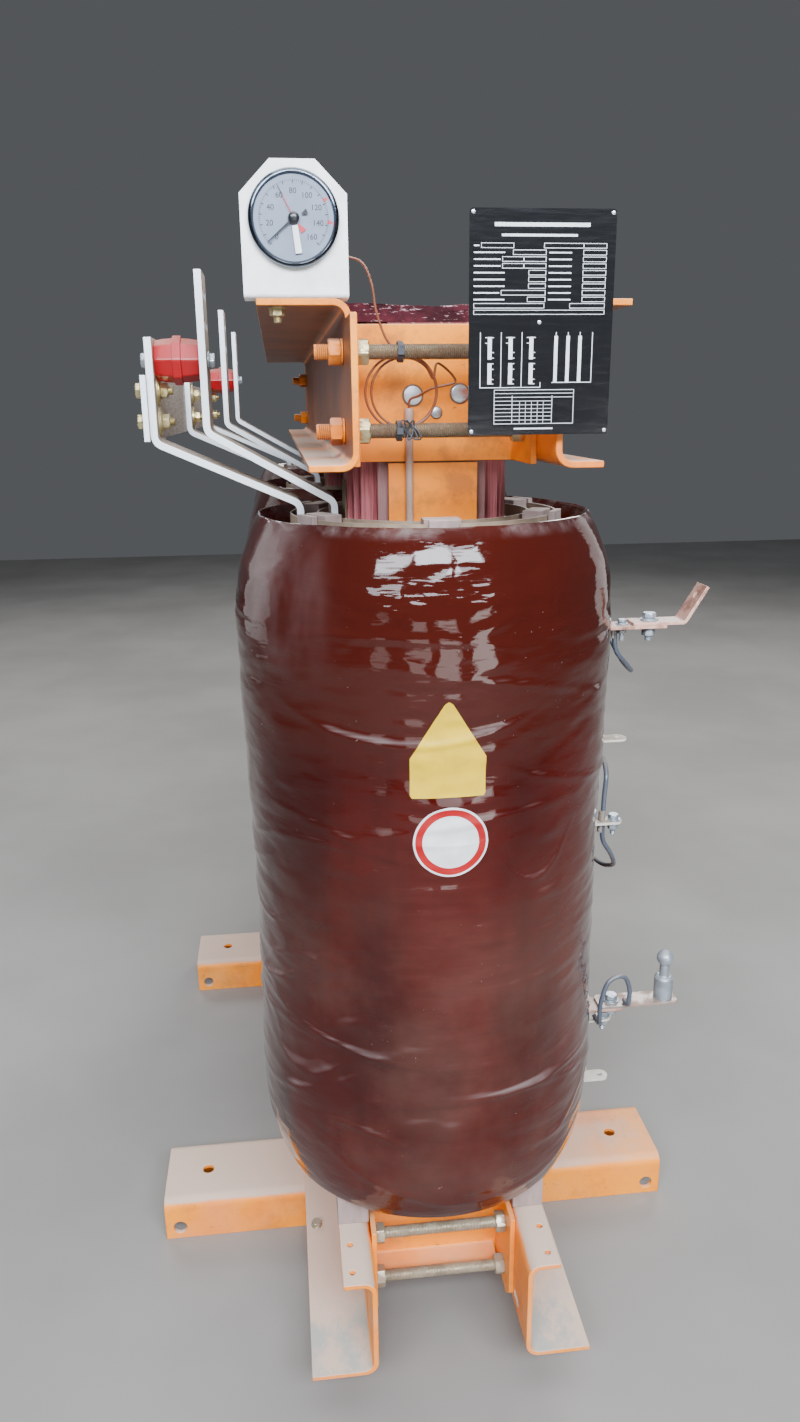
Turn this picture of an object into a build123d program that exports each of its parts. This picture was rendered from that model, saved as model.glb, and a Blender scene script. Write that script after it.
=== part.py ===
from build123d import *
import os
from math import cos, radians, sin, sqrt, tan

os.makedirs("parts", exist_ok=True)

# The transformer stands along Y: three windings in a row, low voltage bars on the -X side and
# high voltage terminals on the +X side. The origin is on the floor under the middle leg.

# Laminated core: packet widths across the stack and their depths along the row
leg_pitch = 612.0
packets = ((122.0, 200.0), (152.0, 184.0), (196.0, 140.0), (214.0, 110.0), (230.0, 80.0))
upper_yoke_clearance = 74.0
lower_yoke_clearance = 2.0
insulation_thick = 2.0
insulation_inset = 2.0

# Clamp channels, bent from plate, that reach past the core at both ends
clamp_overhang = 212.0
clamp_plate = 8.0
clamp_bend = 22.0
upper_clamp_height = 197.0
upper_clamp_seat = 2.0
upper_wide_flange = 113.0
upper_narrow_flange = 60.0
lower_clamp_height = 178.0
lower_wide_flange = 104.0
lower_narrow_flange = 51.0
flange_notch = 82.0
web_slot_length = 36.0
web_slot_width = 14.0
web_slot_inset = 74.0
web_slot_up = 42.0
flange_hole_d = 9.0
flange_hole_edge = 15.0
flange_hole_inset = 25.0
flange_hole_pitch = 54.0

# End brackets, bent to a U round the ends of the yokes
bracket_plate = 8.0
bracket_bend = 12.0
bracket_length = 119.0
bracket_corner = 20.0
upper_bracket_height = 177.0
lower_bracket_top_gap = 2.0
lower_cheek_height = 168.0
lower_lip_up = 13.0
lower_lip_reach = 45.0
lower_lip_relief = 4.0

# Flat tie plates on the outer legs and boards along the flat sides of every leg
tie_plate_width = 124.0
tie_plate_thick = 6.0
tie_plate_gap = 2.0
edge_board_thick = 3.0
edge_board_width = 60.0
edge_board_top_gap = 28.0
edge_board_foot_gap = 82.0

# Tie rods through the channels and cheeks, beyond the ends of the core
tie_rod_d = 20.0
tie_rod_out = 75.0
upper_rods_up = (139.0, 42.5)
lower_rods_up = (139.5, 50.5)
tie_nut_flats = 30.0
tie_nut_high = 16.0
tie_washer_d = 33.0
tie_washer_thick = 3.0
tie_rod_end = 17.0
rod_hole_gap = 0.5

# Transverse feet, channels with the web on top, as long as the wheel gauge and its margins
foot_margin = 80.0
foot_width = 164.0
foot_height = 85.0
foot_plate = 8.0
foot_bend = 20.0
foot_spacing = 874.0
wheel_hole_d = 22.0
wheel_hole_span = 820.0
towing_hole_d = 25.0
towing_hole_inset = 27.5
towing_hole_z = 25.0

# Cast high voltage windings: radius of the barrel at places measured up from its foot and down
# from its rim
coil_bottom = 320.0
coil_top = 1384.0
coil_foot_radius = 255.0
coil_flare_up = 52.0
coil_flare_radius = 270.5
coil_low_up = 120.0
coil_low_radius = 278.5
coil_waist_up = 280.0
coil_waist_radius = 277.5
coil_slim_up = 440.0
coil_slim_radius = 276.2
coil_middle_down = 254.0
coil_middle_radius = 282.5
coil_high_down = 144.0
coil_high_radius = 284.4
coil_shoulder_down = 62.0
coil_shoulder_radius = 271.5
coil_rim_radius = 244.0
coil_rim_wall = 6.0
coil_mouth_depth = 40.0

# Low voltage windings inside the castings, from the leg outwards
lv_foot_inset = 22.0
lv_rim_inset = 18.0
lv_leg_gap = 5.0
lv_inner_layer = 26.5
lv_outer_layer = 32.5
cylinder_wall = 3.0
cylinder_gap = 1.5
barrier_gap = 3.0
casting_gap = 10.0

# Support blocks under the windings and spacer blocks at their upper ends
block_width = 50.0
block_core_gap = 4.0
coil_block_place = 165.0
coil_block_depth = 50.0
block_overhang = 2.0
spacer_count = 6
spacer_width = 40.0
spacer_gap = 0.3
spacer_height = 80.0
spacer_rise = 6.0
top_block_inset = 2.5
top_block_height = 24.0

# Low voltage bars, with heights up from the top of the windings they are joined to
bar_thick = 10.0
bar_width = 80.0
bar_bend = 15.0
tall_bar_x = -308.5
tall_bar_root_in = 7.0
tall_bar_root_up = 36.0
tall_bar_bend_up = 134.0
tall_bar_straight = 211.0
short_bar_x = -381.0
short_bar_root_in = 9.0
short_bar_root_up = 34.0
short_bar_bend_up = 121.0
short_bar_straight = 139.0
middle_short_bar_straight = 98.0
bar_hole_d = 14.0
bar_hole_pitch = 40.0
bar_hole_down = 28.0
link_thick = 8.0
link_height = 88.0
link_above_bend = 2.0
link_overhang = 48.0
link_bolts_up = (26.0, 68.0)

# Standoff insulators between the low voltage bars of the two outer phases
standoff_down = 29.0
standoff_end_d = 44.0
standoff_body_d = 60.0
standoff_rib_d = 67.0
standoff_rib = 10.0
standoff_hole_d = 11.0

# High voltage terminals, the upper ones measured down from the rim of the casting, the lower ones
# up from its foot
hv_root_wall = 30.0
hv_bar_width = 40.0
hv_bar_thick = 5.0
hv_bolt_hole_d = 13.0
hv_top_down = 188.0
hv_top_lug_end = 385.0
hv_top_bar_start = 330.0
hv_top_bolt_x = 362.0
hv_top_bar_bend_x = 414.0
hv_top_bar_tip_x = 448.0
hv_top_bar_rise = 56.0
hv_top_bar_bend = 8.0
hv_tip_hole_back = 18.0
hv_bottom_up = 188.5
hv_bottom_lug_end = 350.0
hv_bottom_bar_start = 308.0
hv_bottom_bar_end = 452.0
hv_bottom_bolt_x = 335.0
hv_bottom_corner = 8.0
upper_tabs_down = (376.0, 522.0)
lower_tabs_up = (164.0, 41.0)
tab_reach = 335.0
tab_width = 28.0
tab_thick = 4.0
tab_hole_d = 9.0
stud_inset = 22.0
stud_base_d = 33.0
stud_base_high = 43.0
stud_base_bevel = 4.0
stud_neck_d = 17.0
stud_height = 92.0
stud_ball_d = 29.0

# Link cables between the high voltage terminals, and the capillary of the thermometer
link_cable_d = 8.0
capillary_d = 3.0
capillary_centre_x = -50.0
capillary_loop_radius = 46.5
capillary_steps = 18
capillary_advance = 0.45
cord_gap = 0.3
cord_arc_share = 0.45

# Thermometer on the left channel
gauge_plate_thick = 2.0
gauge_plate_width = 124.0
gauge_plate_height = 148.0
gauge_plate_left = -243.5
gauge_plate_front_gap = 3.0
gauge_plate_corner = 36.0
gauge_plate_foot = 40.0
gauge_plate_bend = 4.0
gauge_x = -182.0
gauge_up = 85.0
gauge_d = 106.0
gauge_bezel_out = 10.0
gauge_bezel_wall = 7.0
gauge_dial_recess = 4.0
gauge_case_d = 92.0
gauge_case_deep = 48.0
gauge_hole_gap = 0.3
sensor_d = 10.0
sensor_x = -34.0
sensor_down = 120.0
sensor_up = 70.0
sensor_gap = 0.3

# Rating plate in front of the right channel
rating_width = 166.0
rating_height = 240.0
rating_left = 7.5
rating_up = 40.0
rating_thick = 2.0
rating_corner = 4.0
arm_gap = 11.0
arm_thick = 3.0
arm_bend = 4.0
arm_height = 110.0
arm_up = 60.0
arm_overlap = 50.0
arm_reach = 60.0

# Sizes worked out from the values above
leg_places = {"near": -leg_pitch, "middle": 0.0, "far": leg_pitch}
ends = (-1, 1)
sides = {"left": -1, "right": 1}
core_depth = packets[0][1]
core_half = packets[-1][0] / 2
core_end = leg_pitch + core_depth / 2
upper_yoke_bottom = coil_top + upper_yoke_clearance
lower_yoke_bottom = foot_height + lower_yoke_clearance
lower_yoke_top = lower_yoke_bottom + core_depth
upper_yoke_z = upper_yoke_bottom + core_depth / 2
lower_yoke_z = lower_yoke_bottom + core_depth / 2
clamp_inner = core_half + insulation_thick
clamp_outer = clamp_inner + clamp_plate
clamp_end = core_end + clamp_overhang
clamp_length = 2 * clamp_end
upper_clamp_bottom = upper_yoke_bottom + upper_clamp_seat
upper_clamp_top = upper_clamp_bottom + upper_clamp_height
lower_clamp_top = foot_height + lower_clamp_height
cheek_face = clamp_inner - bracket_plate
cheek_end = core_end + bracket_length
rod_y = core_end + tie_rod_out
upper_rod_heights = [upper_clamp_bottom + up for up in upper_rods_up]
lower_rod_heights = [foot_height + up for up in lower_rods_up]
lower_bracket_top = lower_clamp_top + lower_bracket_top_gap
lower_cheek_bottom = lower_bracket_top - lower_cheek_height
flange_end = clamp_end - flange_notch
foot_y = foot_spacing / 2
foot_length = wheel_hole_span + 2 * foot_margin
towing_hole_span = foot_length - 2 * towing_hole_inset
leg_corner = max(sqrt(width ** 2 + depth ** 2) / 2 for width, depth in packets)
lv_inner_radius = leg_corner + lv_leg_gap
lv_inner_face = lv_inner_radius + lv_inner_layer
duct_radius = lv_inner_face + cylinder_gap
lv_outer_face = duct_radius + cylinder_wall + cylinder_gap
lv_outer_radius = lv_outer_face + lv_outer_layer
barrier_radius = lv_outer_radius + barrier_gap
coil_bore_radius = barrier_radius + cylinder_wall + casting_gap
lv_bottom = coil_bottom + lv_foot_inset
lv_top = coil_top - lv_rim_inset
tall_bar_root_x = -(lv_inner_radius + tall_bar_root_in)
tall_bar_bend_z = lv_top + tall_bar_bend_up
tall_bar_top = tall_bar_bend_z + tall_bar_straight
short_bar_root_x = -(lv_outer_radius - short_bar_root_in)
short_bar_bend_z = lv_top + short_bar_bend_up
short_bar_top = short_bar_bend_z + short_bar_straight
link_bottom = short_bar_bend_z + link_above_bend
link_bolt_heights = [link_bottom + up for up in link_bolts_up]
standoff_z = short_bar_top - standoff_down
hv_root_x = coil_bore_radius + hv_root_wall
hv_top_z = coil_top - hv_top_down
hv_bottom_z = coil_bottom + hv_bottom_up
tab_heights = [coil_top - down for down in upper_tabs_down]
tab_heights += [coil_bottom + up for up in lower_tabs_up]


def write(piece, name):
    """Labels a finished piece and writes its file."""
    piece.label = name
    export_step(piece, "parts/" + name + ".step")


def packet_columns():
    """The core's packets side by side: the middle one, then a pair for each step outwards."""
    columns = [(0.0, packets[0][0], packets[0][1])]
    for (inner, _), (width, depth) in zip(packets, packets[1:]):
        for side in sides.values():
            columns.append((side * (width + inner) / 4, (width - inner) / 2, depth))
    return columns


# Core legs: stepped packets that fill the round bore of the windings, mitred into the yokes
window_z = (upper_yoke_bottom + lower_yoke_top) / 2
window_height = upper_yoke_bottom - lower_yoke_top
for name, leg_y in leg_places.items():
    with BuildPart() as core_leg:
        for x, width, depth in packet_columns():
            with Locations((x, leg_y, window_z)):
                Box(width, depth, window_height + core_depth - depth)
    write(core_leg.part, "core_leg_" + name)

# Yokes: the same packets laid along the row
for name, yoke_z in {"upper_yoke": upper_yoke_z, "lower_yoke": lower_yoke_z}.items():
    with BuildPart() as yoke:
        for x, width, depth in packet_columns():
            with Locations((x, 0, yoke_z)):
                Box(width, 2 * leg_pitch + depth, depth)
    write(yoke.part, name)

# Insulation sheets between the yokes and the flat backs of the channels
sheet_spans = (
    (upper_clamp_bottom + clamp_bend, upper_clamp_top - clamp_bend),
    (foot_height + clamp_bend, lower_clamp_top - clamp_bend),
)
with BuildPart() as yoke_insulation:
    for low, high in sheet_spans:
        for side in sides.values():
            with Locations((side * (core_half + insulation_thick / 2), 0, (low + high) / 2)):
                Box(
                    insulation_thick,
                    2 * (core_end - insulation_inset),
                    high - low - 2 * insulation_inset,
                )
write(yoke_insulation.part, "yoke_insulation")


def bracket_line(end):
    """Middle line of an end bracket: one cheek, the wall across the core's end, the other cheek."""
    cheek_x = clamp_inner - bracket_plate / 2
    wall_y = end * (core_end + bracket_plate / 2)
    return FilletPolyline(
        (-cheek_x, end * cheek_end),
        (-cheek_x, wall_y),
        (cheek_x, wall_y),
        (cheek_x, end * cheek_end),
        radius=bracket_bend - bracket_plate / 2,
    )


# Upper end brackets, with the outer top corners of the cheeks cut off
with BuildPart() as upper_end_brackets:
    for end in ends:
        with BuildSketch(Plane.XY.offset(upper_clamp_bottom)):
            with BuildLine():
                bracket_line(end)
            trace(line_width=bracket_plate)
        extrude(amount=upper_bracket_height)
    with BuildSketch(Plane.YZ):
        for end in ends:
            for z in upper_rod_heights:
                with Locations((end * rod_y, z)):
                    Circle(tie_rod_d / 2 + rod_hole_gap)
    extrude(amount=clamp_outer, both=True, mode=Mode.SUBTRACT)
    top_rows = upper_end_brackets.edges().filter_by(Axis.X).group_by(Axis.Z)[-1].group_by(Axis.Y)
    chamfer(top_rows[0] + top_rows[-1], length=bracket_corner)
write(upper_end_brackets.part, "upper_end_brackets")

# Lower end brackets: the foot of the wall is bent outwards as a lip between the cheeks
lip_half = cheek_face - lower_lip_relief
lip_z = lower_cheek_bottom + lower_lip_up
with BuildPart() as lower_end_brackets:
    for end in ends:
        with BuildSketch(Plane.XY.offset(lower_cheek_bottom)):
            with BuildLine():
                bracket_line(end)
            trace(line_width=bracket_plate)
        extrude(amount=lower_cheek_height)
        with Locations((0, end * core_end, lower_cheek_bottom)):
            Box(2 * lip_half, 4 * bracket_plate, 2 * lower_lip_up + bracket_plate, mode=Mode.SUBTRACT)
        with BuildSketch(Plane.YZ.offset(-lip_half)):
            with BuildLine():
                FilletPolyline(
                    (end * (core_end + bracket_plate / 2), lip_z + 4 * bracket_plate),
                    (end * (core_end + bracket_plate / 2), lip_z + bracket_plate / 2),
                    (end * (core_end + lower_lip_reach), lip_z + bracket_plate / 2),
                    radius=bracket_bend - bracket_plate / 2,
                )
            trace(line_width=bracket_plate)
        extrude(amount=2 * lip_half)
    with BuildSketch(Plane.YZ):
        for end in ends:
            for z in lower_rod_heights:
                with Locations((end * rod_y, z)):
                    Circle(tie_rod_d / 2 + rod_hole_gap)
    extrude(amount=clamp_outer, both=True, mode=Mode.SUBTRACT)
    low_rows = lower_end_brackets.edges().filter_by(Axis.X).group_by(Axis.Z)[0].group_by(Axis.Y)
    chamfer(low_rows[0] + low_rows[-1], length=bracket_corner)
write(lower_end_brackets.part, "lower_end_brackets")

# Flat tie plates down the outer faces of the two outer legs, between the brackets
tie_plate_low = lower_bracket_top + tie_plate_gap
tie_plate_high = upper_clamp_bottom - tie_plate_gap
with BuildPart() as tie_plates:
    for end in ends:
        with BuildSketch(Plane.XZ.offset(-end * core_end)):
            with Locations((0, (tie_plate_low + tie_plate_high) / 2)):
                Rectangle(tie_plate_width, tie_plate_high - tie_plate_low)
        extrude(amount=-end * tie_plate_thick)
write(tie_plates.part, "tie_plates")

# Thin boards that stand along both flat sides of each leg, inside the windings
edge_board_top = upper_yoke_bottom - edge_board_top_gap
edge_board_bottom = lower_clamp_top + edge_board_foot_gap
with BuildPart() as edge_boards:
    with BuildSketch(Plane.XY.offset(edge_board_bottom)):
        for leg_y in leg_places.values():
            for side in sides.values():
                with Locations((side * (core_half + edge_board_thick / 2), leg_y)):
                    Rectangle(edge_board_thick, edge_board_width)
    extrude(amount=edge_board_top - edge_board_bottom)
write(edge_boards.part, "leg_edge_boards")


def channel_line(side, low, high, low_flange, high_flange):
    """Middle line of a bent channel with its back towards the core."""
    back = side * (clamp_inner + clamp_plate / 2)
    return FilletPolyline(
        (side * (clamp_inner + high_flange), high - clamp_plate / 2),
        (back, high - clamp_plate / 2),
        (back, low + clamp_plate / 2),
        (side * (clamp_inner + low_flange), low + clamp_plate / 2),
        radius=clamp_bend - clamp_plate / 2,
    )


# Upper clamp channels: the wide flange on top and its bend are cut back at both ends
for side_name, side in sides.items():
    with BuildPart() as upper_clamp:
        with BuildSketch(Plane.XZ.offset(clamp_end)):
            with BuildLine():
                channel_line(
                    side, upper_clamp_bottom, upper_clamp_top, upper_narrow_flange, upper_wide_flange
                )
            trace(line_width=clamp_plate)
        extrude(amount=-clamp_length)
        for end in ends:
            with Locations((
                side * (clamp_inner + upper_wide_flange / 2),
                end * (clamp_end - flange_notch / 2),
                upper_clamp_top,
            )):
                Box(upper_wide_flange + clamp_plate, flange_notch, 2 * clamp_bend, mode=Mode.SUBTRACT)
        with BuildSketch(Plane.YZ):
            for end in ends:
                for z in upper_rod_heights:
                    with Locations((end * rod_y, z)):
                        Circle(tie_rod_d / 2 + rod_hole_gap)
        extrude(amount=side * 2 * clamp_outer, mode=Mode.SUBTRACT)
    write(upper_clamp.part, "upper_clamp_" + side_name)

# Lower clamp channels: the wide flange lies on the feet, the narrow one carries the windings
for side_name, side in sides.items():
    with BuildPart() as lower_clamp:
        with BuildSketch(Plane.XZ.offset(clamp_end)):
            with BuildLine():
                channel_line(side, foot_height, lower_clamp_top, lower_wide_flange, lower_narrow_flange)
            trace(line_width=clamp_plate)
        extrude(amount=-clamp_length)
        with BuildSketch(Plane.YZ):
            for end in ends:
                for z in lower_rod_heights:
                    with Locations((end * rod_y, z)):
                        Circle(tie_rod_d / 2 + rod_hole_gap)
                with Locations((end * (clamp_end - web_slot_inset), foot_height + web_slot_up)):
                    SlotOverall(web_slot_length, web_slot_width)
        extrude(amount=side * 2 * clamp_outer, mode=Mode.SUBTRACT)
        with BuildSketch(Plane.XY.offset(lower_clamp_top)):
            for end in ends:
                for step in range(2):
                    with Locations((
                        side * (clamp_inner + lower_narrow_flange - flange_hole_edge),
                        end * (clamp_end - flange_hole_inset - step * flange_hole_pitch),
                    )):
                        Circle(flange_hole_d / 2)
        extrude(amount=-2 * clamp_plate, mode=Mode.SUBTRACT)
    write(lower_clamp.part, "lower_clamp_" + side_name)

# Tie rods, with a washer and a nut outside each channel and a nut inside each cheek
rod_half = clamp_outer + tie_washer_thick + tie_nut_high + tie_rod_end
for level, heights in {"upper": upper_rod_heights, "lower": lower_rod_heights}.items():
    rod_places = [(end * rod_y, z) for end in ends for z in heights]
    with BuildPart() as tie_rods:
        with BuildSketch(Plane.YZ.offset(-rod_half)):
            with Locations(*rod_places):
                Circle(tie_rod_d / 2)
        extrude(amount=2 * rod_half)
    write(tie_rods.part, level + "_tie_rods")

    with BuildPart() as tie_nuts:
        for side in sides.values():
            with BuildSketch(Plane.YZ.offset(side * clamp_outer)):
                with Locations(*rod_places):
                    Circle(tie_washer_d / 2)
                    Circle(tie_rod_d / 2, mode=Mode.SUBTRACT)
            extrude(amount=side * tie_washer_thick)
            for seat, out in ((clamp_outer + tie_washer_thick, 1), (cheek_face, -1)):
                with BuildSketch(Plane.YZ.offset(side * seat)):
                    with Locations(*rod_places):
                        RegularPolygon(tie_nut_flats / 2, 6, major_radius=False)
                        Circle(tie_rod_d / 2, mode=Mode.SUBTRACT)
                extrude(amount=side * out * tie_nut_high)
    write(tie_nuts.part, level + "_tie_rod_nuts")

# Transverse feet: bent channels with the web on top, wheel holes in it and towing holes below
for name, end in {"foot_near": -1, "foot_far": 1}.items():
    flange_mid = foot_width / 2 - foot_plate / 2
    with BuildPart() as foot:
        with BuildSketch(Plane.YZ.offset(-foot_length / 2)):
            with BuildLine():
                FilletPolyline(
                    (end * foot_y - flange_mid, 0),
                    (end * foot_y - flange_mid, foot_height - foot_plate / 2),
                    (end * foot_y + flange_mid, foot_height - foot_plate / 2),
                    (end * foot_y + flange_mid, 0),
                    radius=foot_bend - foot_plate / 2,
                )
            trace(line_width=foot_plate)
        extrude(amount=foot_length)
        with BuildSketch(Plane.XY.offset(foot_height)):
            with Locations((0, end * foot_y)):
                with GridLocations(wheel_hole_span, 0, 2, 1):
                    Circle(wheel_hole_d / 2)
        extrude(amount=-2 * foot_plate, mode=Mode.SUBTRACT)
        with BuildSketch(Plane.XZ.offset(-end * foot_y)):
            with Locations((0, towing_hole_z)):
                with GridLocations(towing_hole_span, 0, 2, 1):
                    Circle(towing_hole_d / 2)
        extrude(amount=foot_width, both=True, mode=Mode.SUBTRACT)
    write(foot.part, name)

# High voltage windings: barrel shaped castings, thin at the upper rim, with a socket in the
# casting for each lug
hv_top_low = hv_top_z - hv_bar_thick / 2
hv_bottom_low = hv_bottom_z - hv_bar_thick / 2
sockets = [(hv_top_z, hv_bar_width, hv_bar_thick), (hv_bottom_z, hv_bar_width, hv_bar_thick)]
sockets += [(z, tab_width, tab_thick) for z in tab_heights]
for name, leg_y in leg_places.items():
    with BuildPart() as hv_coil:
        with BuildSketch(Plane.XZ.offset(-leg_y)):
            with BuildLine():
                Spline(
                    (coil_foot_radius, coil_bottom),
                    (coil_flare_radius, coil_bottom + coil_flare_up),
                    (coil_low_radius, coil_bottom + coil_low_up),
                    (coil_waist_radius, coil_bottom + coil_waist_up),
                    (coil_slim_radius, coil_bottom + coil_slim_up),
                    (coil_middle_radius, coil_top - coil_middle_down),
                    (coil_high_radius, coil_top - coil_high_down),
                    (coil_shoulder_radius, coil_top - coil_shoulder_down),
                    (coil_rim_radius, coil_top),
                )
                Polyline(
                    (coil_rim_radius, coil_top),
                    (coil_rim_radius - coil_rim_wall, coil_top),
                    (coil_bore_radius, coil_top - coil_mouth_depth),
                    (coil_bore_radius, coil_bottom),
                    (coil_foot_radius, coil_bottom),
                )
            make_face()
        revolve(axis=Axis((0, leg_y, 0), (0, 0, 1)))
        for z, width, thick in sockets:
            with Locations((hv_root_x + coil_foot_radius / 2, leg_y, z)):
                Box(coil_foot_radius, width, thick, mode=Mode.SUBTRACT)
    write(hv_coil.part, "hv_coil_" + name)

# Low voltage foil windings, in two layers with a cooling duct between them
for name, leg_y in leg_places.items():
    with BuildPart() as lv_winding:
        with BuildSketch(Plane.XY.offset(lv_bottom)):
            with Locations((0, leg_y)):
                Circle(lv_outer_radius)
                Circle(lv_outer_face, mode=Mode.SUBTRACT)
                Circle(lv_inner_face)
                Circle(lv_inner_radius, mode=Mode.SUBTRACT)
        extrude(amount=lv_top - lv_bottom)
    write(lv_winding.part, "lv_winding_" + name)

# Insulating cylinders between the windings, level with the rim
with BuildPart() as cylinders:
    for leg_y in leg_places.values():
        for radius in (duct_radius, barrier_radius):
            with BuildSketch(Plane.XY.offset(lv_bottom)):
                with Locations((0, leg_y)):
                    Circle(radius + cylinder_wall)
                    Circle(radius, mode=Mode.SUBTRACT)
            extrude(amount=coil_top - lv_bottom)
write(cylinders.part, "insulating_cylinders")

# Support blocks on the lower channels: one under the inner windings and one under the casting
# on either side of it
lv_block_in = core_half + block_core_gap
lv_block_out = barrier_radius + cylinder_wall + block_overhang
with BuildPart() as support_blocks:
    for leg_y in leg_places.values():
        for side in sides.values():
            with Locations((
                side * (lv_block_in + lv_block_out) / 2,
                leg_y,
                (lower_clamp_top + lv_bottom) / 2,
            )):
                Box(lv_block_out - lv_block_in, block_width, lv_bottom - lower_clamp_top)
            for end in ends:
                with Locations((
                    side * (lv_block_in + coil_block_depth / 2),
                    leg_y + end * coil_block_place,
                    (lower_clamp_top + coil_bottom) / 2,
                )):
                    Box(coil_block_depth, block_width, coil_bottom - lower_clamp_top)
write(support_blocks.part, "support_blocks")

# Spacer blocks at the upper ends: between barrier and casting, and on top of the outer winding
spacer_inner = barrier_radius + cylinder_wall + spacer_gap
spacer_outer = sqrt((coil_bore_radius - spacer_gap) ** 2 - (spacer_width / 2) ** 2)
with BuildPart() as spacer_blocks:
    for leg_y in leg_places.values():
        with BuildSketch(Plane.XY.offset(coil_top + spacer_rise - spacer_height)):
            with Locations((0, leg_y)):
                with PolarLocations((spacer_inner + spacer_outer) / 2, spacer_count, start_angle=-90):
                    Rectangle(spacer_outer - spacer_inner, spacer_width)
        extrude(amount=spacer_height)
        with BuildSketch(Plane.XY.offset(lv_top)):
            with Locations((0, leg_y)):
                with PolarLocations((lv_outer_face + lv_outer_radius) / 2, spacer_count, start_angle=-90):
                    Rectangle(lv_outer_layer - 2 * top_block_inset, block_width)
        extrude(amount=top_block_height)
write(spacer_blocks.part, "spacer_blocks")

# Low voltage bars: the tall ones rise from the inner layer, the short ones from the outer layer
tall_points = (
    (tall_bar_x, tall_bar_top),
    (tall_bar_x, tall_bar_bend_z),
    (tall_bar_root_x, lv_top + tall_bar_root_up),
    (tall_bar_root_x, lv_top),
)
with BuildPart() as tall_bars:
    for name, leg_y in leg_places.items():
        with BuildSketch(Plane.XZ.offset(-leg_y - bar_width / 2)):
            with BuildLine():
                FilletPolyline(*tall_points, radius=bar_bend)
            trace(line_width=bar_thick)
        extrude(amount=bar_width)
        with BuildSketch(Plane.YZ.offset(tall_bar_x)):
            with Locations((leg_y, tall_bar_top - bar_hole_down - bar_hole_pitch / 2)):
                with GridLocations(bar_hole_pitch, bar_hole_pitch, 2, 2):
                    Circle(bar_hole_d / 2)
            if name != "middle":
                with Locations((leg_y, standoff_z)):
                    Circle(standoff_hole_d / 2)
        extrude(amount=bar_thick, both=True, mode=Mode.SUBTRACT)
write(tall_bars.part, "lv_tall_bars")

with BuildPart() as short_bars:
    for name, leg_y in leg_places.items():
        straight = middle_short_bar_straight if name == "middle" else short_bar_straight
        with BuildSketch(Plane.XZ.offset(-leg_y - bar_width / 2)):
            with BuildLine():
                FilletPolyline(
                    (short_bar_x, short_bar_bend_z + straight),
                    (short_bar_x, short_bar_bend_z),
                    (short_bar_root_x, lv_top + short_bar_root_up),
                    (short_bar_root_x, lv_top),
                    radius=bar_bend,
                )
            trace(line_width=bar_thick)
        extrude(amount=bar_width)
        with BuildSketch(Plane.YZ.offset(short_bar_x)):
            with Locations(*[(leg_y, z) for z in link_bolt_heights]):
                Circle(bar_hole_d / 2)
            if name != "middle":
                with Locations((leg_y, standoff_z)):
                    Circle(standoff_hole_d / 2)
        extrude(amount=bar_thick, both=True, mode=Mode.SUBTRACT)
write(short_bars.part, "lv_short_bars")

# Star link: one flat bar across the outer faces of the short bars
with BuildPart() as star_link:
    with BuildSketch(Plane.YZ.offset(short_bar_x - bar_thick / 2)):
        with Locations((0, link_bottom + link_height / 2)):
            Rectangle(2 * (leg_pitch + link_overhang), link_height)
        with Locations(*[(leg_y, z) for leg_y in leg_places.values() for z in link_bolt_heights]):
            Circle(bar_hole_d / 2, mode=Mode.SUBTRACT)
    extrude(amount=-link_thick)
write(star_link.part, "star_link")

# Standoff insulators: two blunt cones with a rib round the middle
standoff_left = short_bar_x + bar_thick / 2
standoff_right = tall_bar_x - bar_thick / 2
standoff_x = (standoff_left + standoff_right) / 2
with BuildPart() as standoffs:
    for leg_y in (leg_places["near"], leg_places["far"]):
        with BuildSketch(Plane.XZ.offset(-leg_y)):
            with BuildLine():
                Polyline(
                    (standoff_left, standoff_z),
                    (standoff_left, standoff_z + standoff_end_d / 2),
                    (standoff_x - standoff_rib / 2, standoff_z + standoff_body_d / 2),
                    (standoff_x - standoff_rib / 2, standoff_z + standoff_rib_d / 2),
                    (standoff_x + standoff_rib / 2, standoff_z + standoff_rib_d / 2),
                    (standoff_x + standoff_rib / 2, standoff_z + standoff_body_d / 2),
                    (standoff_right, standoff_z + standoff_end_d / 2),
                    (standoff_right, standoff_z),
                    close=True,
                )
            make_face()
        revolve(axis=Axis((0, leg_y, standoff_z), (1, 0, 0)))
write(standoffs.part, "standoff_insulators")

# High voltage main lugs, cast into the winding at its start and its end
with BuildPart() as main_lugs:
    lugs = (
        (hv_top_low, hv_top_lug_end, hv_top_bolt_x),
        (hv_bottom_low, hv_bottom_lug_end, hv_bottom_bolt_x),
    )
    for low, reach, bolt_x in lugs:
        with BuildSketch(Plane.XY.offset(low)):
            for leg_y in leg_places.values():
                with Locations(((hv_root_x + reach) / 2, leg_y)):
                    Rectangle(reach - hv_root_x, hv_bar_width)
                with Locations((bolt_x, leg_y)):
                    Circle(hv_bolt_hole_d / 2, mode=Mode.SUBTRACT)
        extrude(amount=hv_bar_thick)
write(main_lugs.part, "hv_main_lugs")

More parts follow.
